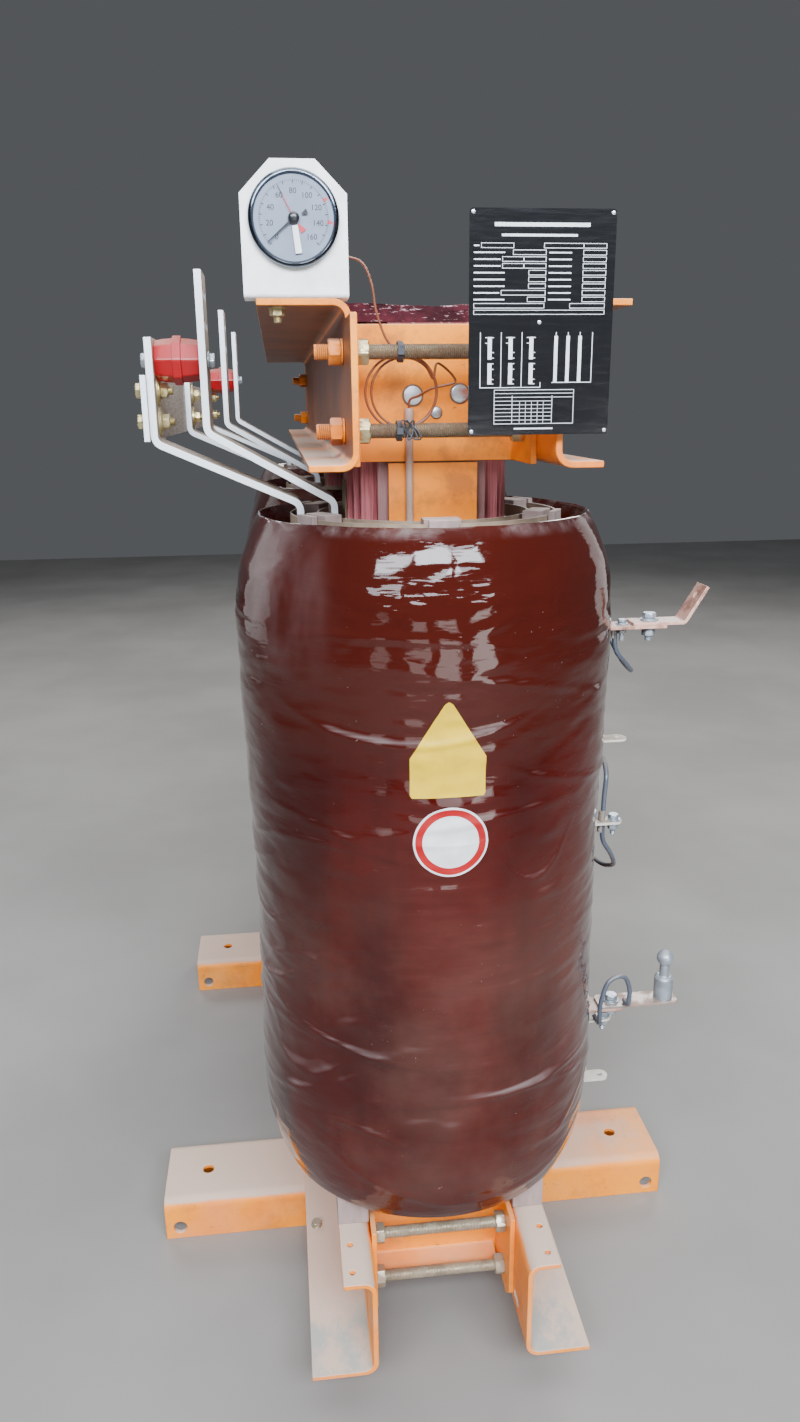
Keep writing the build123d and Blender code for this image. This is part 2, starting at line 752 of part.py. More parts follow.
# Cable bars on the top lugs, bent upwards at the outer end
cable_bar_z = hv_top_low + 1.5 * hv_bar_thick
bar_run = hv_top_bar_tip_x - hv_top_bar_bend_x
tip_length = sqrt(bar_run ** 2 + hv_top_bar_rise ** 2)
tip_share = 1 - hv_tip_hole_back / tip_length
with BuildPart() as cable_bars:
    for leg_y in leg_places.values():
        with BuildSketch(Plane.XZ.offset(-leg_y - hv_bar_width / 2)):
            with BuildLine():
                FilletPolyline(
                    (hv_top_bar_start, cable_bar_z),
                    (hv_top_bar_bend_x, cable_bar_z),
                    (hv_top_bar_tip_x, cable_bar_z + hv_top_bar_rise),
                    radius=hv_top_bar_bend,
                )
            trace(line_width=hv_bar_thick)
        extrude(amount=hv_bar_width)
        with BuildSketch(Plane.XY.offset(cable_bar_z)):
            with Locations((hv_top_bolt_x, leg_y)):
                Circle(hv_bolt_hole_d / 2)
        extrude(amount=hv_bar_thick, both=True, mode=Mode.SUBTRACT)
        tip_plane = Plane(
            origin=(
                hv_top_bar_bend_x + tip_share * bar_run,
                leg_y,
                cable_bar_z + tip_share * hv_top_bar_rise,
            ),
            x_dir=(0, 1, 0),
            z_dir=(-hv_top_bar_rise, 0, bar_run),
        )
        with BuildSketch(tip_plane):
            Circle(hv_bolt_hole_d / 2)
        extrude(amount=hv_bar_thick, both=True, mode=Mode.SUBTRACT)
write(cable_bars.part, "hv_cable_bars")

# Lower terminal bars on the bottom lugs
bottom_bar_low = hv_bottom_low + hv_bar_thick
with BuildPart() as bottom_bars:
    for leg_y in leg_places.values():
        with BuildSketch(Plane.XY.offset(bottom_bar_low)):
            with Locations(((hv_bottom_bar_start + hv_bottom_bar_end) / 2, leg_y)):
                RectangleRounded(
                    hv_bottom_bar_end - hv_bottom_bar_start, hv_bar_width, hv_bottom_corner
                )
            with Locations((hv_bottom_bolt_x, leg_y)):
                Circle(hv_bolt_hole_d / 2, mode=Mode.SUBTRACT)
        extrude(amount=hv_bar_thick)
write(bottom_bars.part, "hv_bottom_bars")

# Round ended tabs cast into the winding, each with a bolt hole
with BuildPart() as tap_tabs:
    for z in tab_heights:
        with BuildSketch(Plane.XY.offset(z - tab_thick / 2)):
            for leg_y in leg_places.values():
                tab_end = tab_reach - tab_width / 2
                with Locations(((hv_root_x + tab_end) / 2, leg_y)):
                    Rectangle(tab_end - hv_root_x, tab_width)
                with Locations((tab_end, leg_y)):
                    Circle(tab_width / 2)
                    Circle(tab_hole_d / 2, mode=Mode.SUBTRACT)
        extrude(amount=tab_thick)
write(tap_tabs.part, "hv_tap_tabs")

# Ball studs for an earthing clamp, on the outer ends of the lower terminal bars
stud_x = hv_bottom_bar_end - stud_inset
stud_z = bottom_bar_low + hv_bar_thick
ball_z = stud_z + stud_height - stud_ball_d / 2
neck_top = ball_z - sqrt((stud_ball_d / 2) ** 2 - (stud_neck_d / 2) ** 2)
with BuildPart() as ball_studs:
    for leg_y in leg_places.values():
        with BuildSketch(Plane.XZ.offset(-leg_y)):
            with BuildLine():
                Polyline(
                    (stud_x, stud_z + stud_height),
                    (stud_x, stud_z),
                    (stud_x + stud_base_d / 2, stud_z),
                    (stud_x + stud_base_d / 2, stud_z + stud_base_high - stud_base_bevel),
                    (stud_x + stud_base_d / 2 - stud_base_bevel, stud_z + stud_base_high),
                    (stud_x + stud_neck_d / 2, stud_z + stud_base_high),
                    (stud_x + stud_neck_d / 2, neck_top),
                )
                ThreePointArc(
                    (stud_x + stud_neck_d / 2, neck_top),
                    (stud_x + stud_ball_d / 2, ball_z),
                    (stud_x, stud_z + stud_height),
                )
            make_face()
        revolve(axis=Axis((stud_x, leg_y, 0), (0, 0, 1)))
write(ball_studs.part, "ball_studs")


def cord_radii(points):
    """Radius at each corner of a cord's route: as large as the two runs beside it allow."""
    radii = []
    for before, corner, after in zip(points, points[1:], points[2:]):
        first = Vector(*corner) - Vector(*before)
        second = Vector(*after) - Vector(*corner)
        half_turn = radians(first.get_angle(second) / 2)
        radii.append(cord_arc_share * min(first.length, second.length) / tan(half_turn))
    print("cord radii", [round(radius) for radius in radii])
    return radii


def link_route(row, next_row, seat_z, half, middle=()):
    """Route between the same joint of two windings: out along the half route and back along it."""
    there = [(x, row + y, seat_z + z) for x, y, z in half]
    centre = [(x, (row + next_row) / 2, seat_z + z) for x, z in middle]
    back = [(x, next_row - y, seat_z + z) for x, y, z in reversed(half)]
    return there + centre + back


# Link cables: slack ones between neighbouring top lugs, one that arches from the near tab to the
# middle one, one that hangs from the near tab to the far one, and a short jumper on each winding
near_row, middle_row, far_row = leg_places.values()
cord_half = link_cable_d / 2
top_half = (
    (310, 9, 0), (310, 9, -38), (338, 22, -68), (358, 50, -88), (354, 95, -80), (345, 150, -43),
    (335, 250, -28),
)
arch_half = (
    (303, 0, 0), (303, 0, 40), (309, 8, 81), (312, 50, 102), (312, 100, 86), (310, 130, 36),
    (305, 165, -14), (303, 250, -44),
)
hang_half = (
    (303, 0, 0), (303, 0, -32), (322, 8, -60), (340, 32, -95), (338, 90, -124), (330, 170, -132),
    (326, 290, -116), (325, 400, -108), (328, 510, -116),
)
arch_seat = tab_heights[1] + tab_thick / 2 + cord_gap
hang_seat = tab_heights[1] - tab_thick / 2 - cord_gap
jumper_low = tab_heights[2] + tab_thick / 2 + cord_gap + cord_half
jumper_high = bottom_bar_low + hv_bar_thick + cord_gap + cord_half
routes = [
    link_route(near_row, middle_row, hv_top_low - cord_gap, top_half),
    link_route(middle_row, far_row, hv_top_low - cord_gap, top_half),
    link_route(near_row, middle_row, arch_seat, arch_half),
    link_route(near_row, far_row, hang_seat, hang_half, ((332, -130),)),
]
for leg_y in leg_places.values():
    routes.append([
        (304, leg_y - 6, jumper_low),
        (304, leg_y - 36, jumper_low),
        (300, leg_y - 42, jumper_low + 45),
        (314, leg_y - 38, jumper_high + 60),
        (344, leg_y - 34, jumper_high + 68),
        (358, leg_y - 30, jumper_high + 36),
        (356, leg_y - 30, jumper_high),
        (356, leg_y - 8, jumper_high),
    ])
with BuildPart() as link_cables:
    for route in routes:
        with BuildLine() as link_path:
            FilletPolyline(*route, radius=cord_radii(route))
        with BuildSketch(Plane(link_path.line @ 0, z_dir=link_path.line % 0)):
            Circle(cord_half)
        sweep(path=link_path.line)
write(link_cables.part, "hv_link_cables")

# Thermometer plate, standing at the end of the left channel's flange on a bent foot
gauge_z = upper_clamp_top + gauge_up
gauge_front = -(flange_end + gauge_plate_front_gap)
gauge_sheet_y = gauge_front + gauge_plate_thick / 2
with BuildPart() as gauge_bracket:
    with BuildSketch(Plane.YZ.offset(gauge_plate_left)):
        with BuildLine():
            FilletPolyline(
                (gauge_sheet_y, upper_clamp_top + gauge_plate_height),
                (gauge_sheet_y, upper_clamp_top + gauge_plate_thick / 2),
                (gauge_sheet_y + gauge_plate_foot, upper_clamp_top + gauge_plate_thick / 2),
                radius=gauge_plate_bend,
            )
        trace(line_width=gauge_plate_thick)
    extrude(amount=gauge_plate_width)
    with BuildSketch(Plane.XZ.offset(-gauge_front)):
        with Locations((gauge_x, gauge_z)):
            Circle(gauge_case_d / 2 + gauge_hole_gap)
    extrude(amount=gauge_plate_thick * 2, both=True, mode=Mode.SUBTRACT)
    plate_corners = gauge_bracket.edges().filter_by(Axis.Y).group_by(Axis.Z)[-1]
    chamfer(plate_corners, length=gauge_plate_corner)
write(gauge_bracket.part, "gauge_bracket")

# Thermometer: a case through the plate, a bezel in front of it and the dial sunk in the bezel
bezel_front = gauge_front - gauge_bezel_out
dial_y = bezel_front + gauge_dial_recess
case_back = gauge_front + gauge_case_deep
with BuildPart() as gauge_case:
    with BuildSketch(Plane.XY.offset(gauge_z)):
        with BuildLine():
            Polyline(
                (gauge_x, dial_y),
                (gauge_x + gauge_d / 2 - gauge_bezel_wall, dial_y),
                (gauge_x + gauge_d / 2 - gauge_bezel_wall, bezel_front),
                (gauge_x + gauge_d / 2, bezel_front),
                (gauge_x + gauge_d / 2, gauge_front),
                (gauge_x + gauge_case_d / 2, gauge_front),
                (gauge_x + gauge_case_d / 2, case_back),
                (gauge_x, case_back),
                close=True,
            )
        make_face()
    revolve(axis=Axis((gauge_x, 0, gauge_z), (0, 1, 0)))
write(gauge_case.part, "gauge_case")

# Sensor tube, down in front of the near bracket into the gap beside the near leg
sensor_y = -(core_end + bracket_plate + sensor_gap + sensor_d / 2)
with BuildPart() as sensor_tube:
    with BuildSketch(Plane.XY.offset(upper_clamp_bottom - sensor_down)):
        with Locations((sensor_x, sensor_y)):
            Circle(sensor_d / 2)
    extrude(amount=sensor_down + sensor_up)
write(sensor_tube.part, "sensor_tube")

# Capillary from the back of the thermometer: it is looped behind the near tie rods, which hold
# it, and ends in the head of the sensor tube
coil_y = -(rod_y - tie_rod_d / 2 - cord_gap - capillary_d / 2)
coil_z = sum(upper_rod_heights) / 2
tube_top = upper_clamp_bottom + sensor_up + cord_gap
capillary_route = [
    (-150, case_back + cord_gap, gauge_z - 30),
    (-150, case_back + 19, gauge_z - 30),
    (-122, case_back + 25, gauge_z - 30),
    (-98, case_back + 25, gauge_z - 37),
    (-86, case_back + 24, gauge_z - 62),
    (-80, case_back + 23, gauge_z - 97),
    (-64, coil_y, coil_z + 58),
]
for step in range(capillary_steps):
    angle = radians(67.5 - 45 * step)
    capillary_route.append((
        capillary_centre_x + capillary_loop_radius * cos(angle),
        coil_y + step * capillary_advance,
        coil_z + capillary_loop_radius * sin(angle),
    ))
capillary_route += [
    (-14, coil_y + 22, coil_z + 5),
    (-30, sensor_y - 6, tube_top + 24),
    (sensor_x, sensor_y, tube_top + 11),
    (sensor_x, sensor_y, tube_top),
]
with BuildPart() as capillary:
    with BuildLine() as capillary_path:
        FilletPolyline(*capillary_route, radius=cord_radii(capillary_route))
    with BuildSketch(Plane(capillary_path.line @ 0, z_dir=capillary_path.line % 0)):
        Circle(capillary_d / 2)
    sweep(path=capillary_path.line)
write(capillary.part, "capillary")

# Rating plate on an angled arm from the end of the right channel
arm_y = -(clamp_end + arm_gap + arm_thick / 2)
with BuildPart() as rating_arm:
    with BuildSketch(Plane.XY.offset(upper_clamp_bottom + arm_up)):
        with BuildLine():
            FilletPolyline(
                (clamp_outer + arm_thick / 2, -(clamp_end - arm_overlap)),
                (clamp_outer + arm_thick / 2, arm_y),
                (clamp_outer + arm_thick / 2 - arm_reach, arm_y),
                radius=arm_bend,
            )
        trace(line_width=arm_thick)
    extrude(amount=arm_height)
write(rating_arm.part, "rating_arm")

with BuildPart() as rating_plate:
    with BuildSketch(Plane.XZ.offset(-arm_y + arm_thick / 2)):
        with Locations((
            rating_left + rating_width / 2,
            upper_clamp_bottom + rating_up + rating_height / 2,
        )):
            RectangleRounded(rating_width, rating_height, rating_corner)
    extrude(amount=rating_thick)
write(rating_plate.part, "rating_plate")
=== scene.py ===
from math import cos, radians, sin

import bmesh
import bpy
import numpy as np
from mathutils import Matrix


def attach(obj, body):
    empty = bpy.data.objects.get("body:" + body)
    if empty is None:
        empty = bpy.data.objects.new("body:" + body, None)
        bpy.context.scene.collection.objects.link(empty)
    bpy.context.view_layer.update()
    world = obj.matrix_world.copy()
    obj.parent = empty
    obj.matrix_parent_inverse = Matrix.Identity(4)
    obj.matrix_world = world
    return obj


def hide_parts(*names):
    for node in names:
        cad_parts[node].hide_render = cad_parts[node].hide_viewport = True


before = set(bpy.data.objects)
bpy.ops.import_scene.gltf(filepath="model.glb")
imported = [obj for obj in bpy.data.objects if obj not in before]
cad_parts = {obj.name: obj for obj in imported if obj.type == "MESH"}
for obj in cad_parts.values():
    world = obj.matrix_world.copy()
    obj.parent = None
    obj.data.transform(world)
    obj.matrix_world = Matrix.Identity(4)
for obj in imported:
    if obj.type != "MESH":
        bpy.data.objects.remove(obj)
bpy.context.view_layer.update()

TURN = 2 * np.pi

# Places of the CAD pieces that the small parts sit on, in metres
PITCH = 0.612
LEGS = {"near": -PITCH, "middle": 0.0, "far": PITCH}
ROD_Y, ROD_REACH = 0.787, 0.161
ROD_LEVELS = {"upper": (1.599, 1.5025), "lower": (0.2245, 0.1355)}
CLAMPED_INSIDE, CLAMPED_OUTSIDE = 0.109, 0.125
LINK_FRONT, LINK_BACK = -0.394, -0.376
STANDOFF_X, STANDOFF_Z, STANDOFF_REACH = -0.34475, 1.597, 0.04125
WALL_FRONT = -0.720
FLANGE_UNDER = 1.649
FOOT_BEND_TOP = 0.093
GAUGE_X, GAUGE_Z, SHEET_FRONT = -0.182, 1.742, -0.845
PLATE_LEFT, PLATE_LOW, PLATE_FACE = 0.0075, 1.500, -0.940
SENSOR_X, SENSOR_Y = -0.034, -0.7253
YOKE_TOP = 1.658


def paint(red, green, blue):
    """Linear colour of a screen colour given from 0 to 255."""
    return tuple((v / 255) ** 2.2 for v in (red, green, blue))


def shade(tint, share):
    """The colour made darker by a share."""
    return tuple(v * share for v in tint)


# Surfaces


def rings_shell(rings, loop=False):
    """Closed surface through rings of points, an array of rings x points x 3.

    Quads join each ring to the next. The end rings are closed by fans to their middles, or joined
    to each other when loop is set. The sign of the enclosed volume decides which way faces turn.
    """
    rings = np.asarray(rings, dtype=float)
    count, around = rings.shape[:2]
    index = np.arange(count * around).reshape(count, around)
    if loop:
        index = np.vstack([index, index[:1]])
    right = np.roll(index, -1, axis=1)
    quads = np.stack([index[:-1], right[:-1], right[1:], index[1:]], axis=-1).reshape(-1, 4)
    points = rings.reshape(-1, 3)
    tris = np.zeros((0, 3), dtype=int)
    if not loop:
        points = np.vstack([points, rings[0].mean(axis=0), rings[-1].mean(axis=0)])
        low = np.full(around, count * around)
        first = np.stack([low, right[0], index[0]], axis=-1)
        last = np.stack([low + 1, index[-1], right[-1]], axis=-1)
        tris = np.vstack([first, last])
    halves = np.vstack([quads[:, [0, 1, 2]], quads[:, [0, 2, 3]], tris])
    a, b, c = (points[halves[:, k]] - points[0] for k in range(3))
    if np.einsum("ij,ij->i", a, np.cross(b, c)).sum() < 0:
        quads, tris = quads[:, ::-1], tris[:, ::-1]
    return points, quads.tolist() + tris.tolist()


def sheet(points, thick):
    """Closed thin sheet: the grid of points is the face, and its back lies `thick` behind it along
    the grid's own normals."""
    down, across = np.gradient(points, axis=0), np.gradient(points, axis=1)
    normal = np.cross(down, across)
    normal /= np.linalg.norm(normal, axis=2, keepdims=True)
    back = points - normal * thick
    return rings_shell(np.concatenate([points, back[:, ::-1]], axis=1))


def axes_for(axis):
    """The axis as a unit vector, and two unit vectors square to it and to each other."""
    axis = np.asarray(axis, dtype=float)
    axis /= np.linalg.norm(axis)
    side = np.cross(axis, (0, 0, 1) if abs(axis[2]) < 0.9 else (1, 0, 0))
    side /= np.linalg.norm(side)
    return axis, side, np.cross(axis, side)


def full_turn(count):
    return np.linspace(0, TURN, count, endpoint=False)


def spokes(side, up, angle):
    """Unit vectors at the angles: cos a side + sin a up."""
    return np.cos(angle)[..., None] * side + np.sin(angle)[..., None] * up


def turned(profile, place, axis, around=32, flats=None, spin=0.0):
    """Lathe surface: point = place + s axis + r (cos a, sin a), with (r, s) from the profile.

    With flats given, r is no more than the distance to a hexagon of that width, which leaves the
    profile as the chamfer that rounds the hexagon's corners.
    """
    axis, side, up = axes_for(axis)
    angle = full_turn(around)
    radius = np.array([r for r, _ in profile])[:, None] + 0 * angle
    if flats:
        sector = np.mod(angle + spin + np.pi / 6, np.pi / 3) - np.pi / 6
        radius = np.minimum(radius, flats / 2 / np.cos(sector))
    shift = np.array([s for _, s in profile])[:, None, None] * axis
    return rings_shell(np.asarray(place) + shift + radius[..., None] * spokes(side, up, angle))


def hexagon(place, axis, flats, high, spin=0.0):
    """Hexagon nut or head: both ends chamfered at 30 degrees to the flats."""
    corner, end = flats / 2 / cos(np.pi / 6), flats / 2 * 0.97
    cut = (corner - end) * 0.577
    profile = ((end, 0), (corner, cut), (corner, high - cut), (end, high))
    return turned(profile, place, axis, 48, flats, spin)


def washer(place, axis, wide, thick):
    """Flat washer with its outer edges broken."""
    edge = thick * 0.2
    profile = ((wide / 2 - edge, 0), (wide / 2, edge), (wide / 2, thick - edge), (wide / 2 - edge, thick))
    return turned(profile, place, axis, 40)


def spring_washer(place, axis, wide, high):
    """Conical washer, narrower at the nut."""
    profile = ((wide * 0.5, 0), (wide * 0.5, high * 0.35), (wide * 0.36, high), (wide * 0.30, high))
    return turned(profile, place, axis, 40)


def toothed_washer(place, axis, wide, thick, teeth=26):
    """Lock washer: the rim's height follows a sine of the angle, one wave for each tooth."""
    axis, side, up = axes_for(axis)
    angle = full_turn(teeth * 6)
    wave = 0.5 + 0.5 * np.sin(teeth * angle)
    section = ((0.30, 0), (0.92, 0), (1.0, 0.25), (1.0, 0.75), (0.92, 1.0), (0.66, 1.0), (0.30, 0.9))
    rows = []
    for share, rise in section:
        lift = thick * (rise + 0.35 * wave * (share > 0.9) * (rise > 0.5))
        rows.append(np.asarray(place) + lift[:, None] * axis + spokes(side, up, angle) * wide / 2 * share)
    return rings_shell(rows)


def threaded(place, axis, length, wide, pitch, around=14, steps=5):
    """Threaded rod: r falls by the thread depth as a triangle wave of (s / pitch - a / 2 pi)."""
    axis, side, up = axes_for(axis)
    along = np.linspace(0, length, int(length / pitch * steps) + 1)[:, None]
    angle = full_turn(around)[None]
    depth = 0.55 * pitch * np.abs(2 * np.mod(along / pitch - angle / TURN, 1) - 1)
    ends = np.minimum(along, length - along)
    radius = wide / 2 - depth * np.clip(ends / pitch, 0.4, 1) - np.clip(0.8 * pitch - ends, 0, None) * 0.6
    spoke = spokes(side, up, angle)
    return rings_shell(np.asarray(place) + along[..., None] * axis + radius[..., None] * spoke)


def box_bar(low, high):
    """Block between two corners."""
    (x0, y0, z0), (x1, y1, z1) = low, high
    return rings_shell([[(x0, y0, z), (x1, y0, z), (x1, y1, z), (x0, y1, z)] for z in (z0, z1)])


def tube(path, wide, around=10):
    """Round wire: a circle of the given width carried along the path, square to its direction and
    without twist, because each frame is the last one turned the least way."""
    path = np.asarray(path, dtype=float)
    ahead = np.gradient(path, axis=0)
    ahead /= np.linalg.norm(ahead, axis=1, keepdims=True)
    side = axes_for(ahead[0])[1]
    sides = []
    for direction in ahead:
        side = side - direction * side.dot(direction)
        side /= np.linalg.norm(side)
        sides.append(side)
    ups = np.cross(ahead, sides)
    ring = spokes(np.array(sides)[:, None], ups[:, None], full_turn(around)[None])
    return rings_shell(path[:, None] + ring * wide / 2)


def smooth_path(points, steps=8):
    """Curve through the points: between two of them, the cubic whose slope at each is half the way
    from the point before it to the point after it."""
    points = np.asarray(points, dtype=float)
    padded = np.vstack([2 * points[0] - points[1], points, 2 * points[-1] - points[-2]])
    t = np.linspace(0, 1, steps, endpoint=False)[:, None]
    curve = []
    for a, b, c, d in zip(padded[:-3], padded[1:-2], padded[2:-1], padded[3:]):
        start, end = (c - a) / 2, (d - b) / 2
        square, cube = 3 * (c - b) - 2 * start - end, 2 * (b - c) + start + end
        curve.append(b + start * t + square * t ** 2 + cube * t ** 3)
    return np.vstack([*curve, points[-1:]])


def blotches(turn, up, around, tall, seed):
    """Smooth noise from 0 to 1: random values on a lattice of `around` by `tall` cells that closes
    round the turn, blended by 3t^2 - 2t^3 between the lattice points."""
    values = np.random.default_rng(seed).random((tall + 2, around))
    x, y = np.mod(turn, 1) * around, np.clip(up, 0, 1) * tall
    column, row = np.floor(x).astype(int), np.floor(y).astype(int)
    tx, ty = x - column, y - row
    tx, ty = tx * tx * (3 - 2 * tx), ty * ty * (3 - 2 * ty)
    left, right = column % around, (column + 1) % around
    low = values[row, left] * (1 - tx) + values[row, right] * tx
    high = values[row + 1, left] * (1 - tx) + values[row + 1, right] * tx
    return low * (1 - ty) + high * ty


def in_scene(name, data):
    """New object of the scene that holds the mesh, lamp, camera or text."""
    made = bpy.data.objects.new(name, data)
    bpy.context.scene.collection.objects.link(made)
    return made


def piece(name, parts, finish, replaces=(), smooth=35):
    """One object from closed surfaces, riding on the part's one body."""
    points, faces, start = [], [], 0
    for part_points, part_faces in parts:
        points.append(part_points)
        faces += [[i + start for i in face] for face in part_faces]
        start += len(part_points)
    mesh = bpy.data.meshes.new(name)
    mesh.from_pydata(np.vstack(points), [], faces)
    mesh.shade_smooth()
    mesh.set_sharp_from_angle(angle=radians(smooth))
    mesh.materials.append(finish)
    made = in_scene(name, mesh)
    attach(made, "root")
    if replaces:
        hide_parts(*replaces)
    return made


# Finishes


class Nodes:
    """Short ways to add nodes to the tree of a material or of a node group."""

    def __init__(self, tree):
        self.tree = tree
        self.place = self.node("ShaderNodeTexCoord").outputs["Object"]

    def node(self, kind, inputs=None, **settings):
        """New node. Each input is a number or colour to hold, or a socket to join."""
        made = self.tree.nodes.new(kind)
        for key, value in settings.items():
            setattr(made, key, value)
        for key, value in (inputs or {}).items():
            if isinstance(value, bpy.types.NodeSocket):
                self.tree.links.new(value, made.inputs[key])
            else:
                made.inputs[key].default_value = value
        return made

    def scaled(self, scale, location=(0, 0, 0)):
        """Object place stretched by a scale for each axis."""
        inputs = {"Vector": self.place, "Scale": scale, "Location": location}
        return self.node("ShaderNodeMapping", inputs).outputs[0]

    def noise(self, scale, detail, stretch=None, rough=0.55):
        place = self.scaled(stretch) if stretch else self.place
        inputs = {"Vector": place, "Scale": scale, "Detail": detail, "Roughness": rough}
        return self.node("ShaderNodeTexNoise", inputs).outputs["Fac"]

    def span(self, value, low, high, to_low=0.0, to_high=1.0, kind="SMOOTHSTEP"):
        """Values between low and high carried to the new range and held at its ends."""
        inputs = {"Value": value, "From Min": low, "From Max": high, "To Min": to_low, "To Max": to_high}
        return self.node("ShaderNodeMapRange", inputs, interpolation_type=kind).outputs["Result"]

    def patches(self, scale, detail, low, high, to_low=0.0, to_high=1.0, stretch=None, rough=0.55):
        """Noise whose values between low and high are carried to the new range."""
        return self.span(self.noise(scale, detail, stretch, rough), low, high, to_low, to_high)

    def maths(self, operation, first, *others, **settings):
        """The first value joined to each of the others in turn by the operation."""
        for other in others:
            made = self.node("ShaderNodeMath", {0: first, 1: other}, operation=operation, **settings)
            first = made.outputs[0]
        return first

    def times(self, *values):
        return self.maths("MULTIPLY", *values)

    def most(self, *values):
        return self.maths("MAXIMUM", *values)

    def size_of(self, value):
        """The value without its sign."""
        return self.node("ShaderNodeMath", {0: value}, operation="ABSOLUTE").outputs[0]

    def blend(self, share, first, second):
        """Colour between two colours, each a socket or three numbers."""
        first, second = (v if isinstance(v, bpy.types.NodeSocket) else (*v, 1) for v in (first, second))
        return self.node("ShaderNodeMix", {0: share, 6: first, 7: second}, data_type="RGBA").outputs[2]

    def layers(self, colour, *covers):
        """The colour under its covers, each a mask and the colour laid on what is below it."""
        for mask, cover in covers:
            colour = self.blend(mask, colour, cover)
        return colour

    def part(self, axis, vector=None):
        """One of x, y and z of a place or a direction."""
        return self.node("ShaderNodeSeparateXYZ", {0: vector or self.place}).outputs[axis]

    def facing(self, axis):
        """One of x, y and z of the direction that the surface faces."""
        return self.part(axis, self.node("ShaderNodeNewGeometry").outputs["Normal"])


class Finish(Nodes):
    """A material with one Principled shader."""

    def __init__(self, name, roughness=0.5, metallic=0.0, coat=0.0, specular=0.5):
        self.material = bpy.data.materials.new(name)
        self.material.use_nodes = True
        super().__init__(self.material.node_tree)
        self.shader = self.tree.nodes["Principled BSDF"]
        constants = {"Roughness": roughness, "Metallic": metallic, "Coat Weight": coat,
                     "Coat Roughness": 0.04, "Specular IOR Level": specular}
        for socket, value in constants.items():
            self.shader.inputs[socket].default_value = value

    def finished(self, colour, bump, **others):
        """The material, once the shader is fed. Bump is a height, its distance and its strength."""
        inputs = dict(zip(("Height", "Distance", "Strength"), bump))
        others.update(Base_Color=colour, Normal=self.node("ShaderNodeBump", inputs).outputs["Normal"])
        for name, source in others.items():
            self.tree.links.new(source, self.shader.inputs[name.replace("_", " ")])
        return self.material

    def dust(self, amount, size, level):
        """Mask of the settled dust."""
        inputs = {"Amount": amount, "Patch Size": size, "Level": level}
        return self.node("ShaderNodeGroup", inputs, node_tree=DUST).outputs["Mask"]

    def chips(self, size, limit):
        """Mask of the scuffs."""
        return self.node("ShaderNodeGroup", {"Size": size, "Limit": limit}, node_tree=SCUFFS).outputs["Mask"]


def mask_group(name, values):
    """New node group that takes the named numbers and gives a mask, with its input sockets."""
    tree = bpy.data.node_groups.new(name, "ShaderNodeTree")
    for key, value in values.items():
        tree.interface.new_socket(key, in_out="INPUT", socket_type="NodeSocketFloat").default_value = value
    tree.interface.new_socket("Mask", in_out="OUTPUT", socket_type="NodeSocketFloat")
    made = Nodes(tree)
    return made, made.node("NodeGroupInput").outputs


def settled_dust():
    """Group: dust that lies on what faces up, thinned by two sizes of patch.

    Mask = amount x smooth(up part of the normal) x patches, held between 0 and 1.
    """
    made, given = mask_group("settled_dust", {"Amount": 1.0, "Patch Size": 9.0, "Level": 0.25})
    slope = made.span(made.facing(2), given["Level"], 0.98)
    patch = made.span(made.noise(given["Patch Size"], 6.0, rough=0.65), 0.32, 0.62, 0.35, 1.0, "LINEAR")
    mask = made.maths("MULTIPLY", made.times(slope, patch), given["Amount"], use_clamp=True)
    made.node("NodeGroupOutput", {"Mask": mask})
    return made.tree


def scuffs():
    """Group: small chips and rubs, where fine noise passes a limit inside larger worn patches."""
    made, given = mask_group("scuffs", {"Size": 60.0, "Limit": 0.64})
    fine = made.span(made.noise(given["Size"], 5.0, rough=0.7), given["Limit"], 0.74, kind="LINEAR")
    wide = made.span(made.noise(7.0, 2.0, rough=0.5), 0.42, 0.6, kind="LINEAR")
    made.node("NodeGroupOutput", {"Mask": made.times(fine, wide)})
    return made.tree


DUST = settled_dust()
SCUFFS = scuffs()
GREY_DUST = paint(150, 135, 120)
FLOOR_DUST = paint(194, 168, 152)


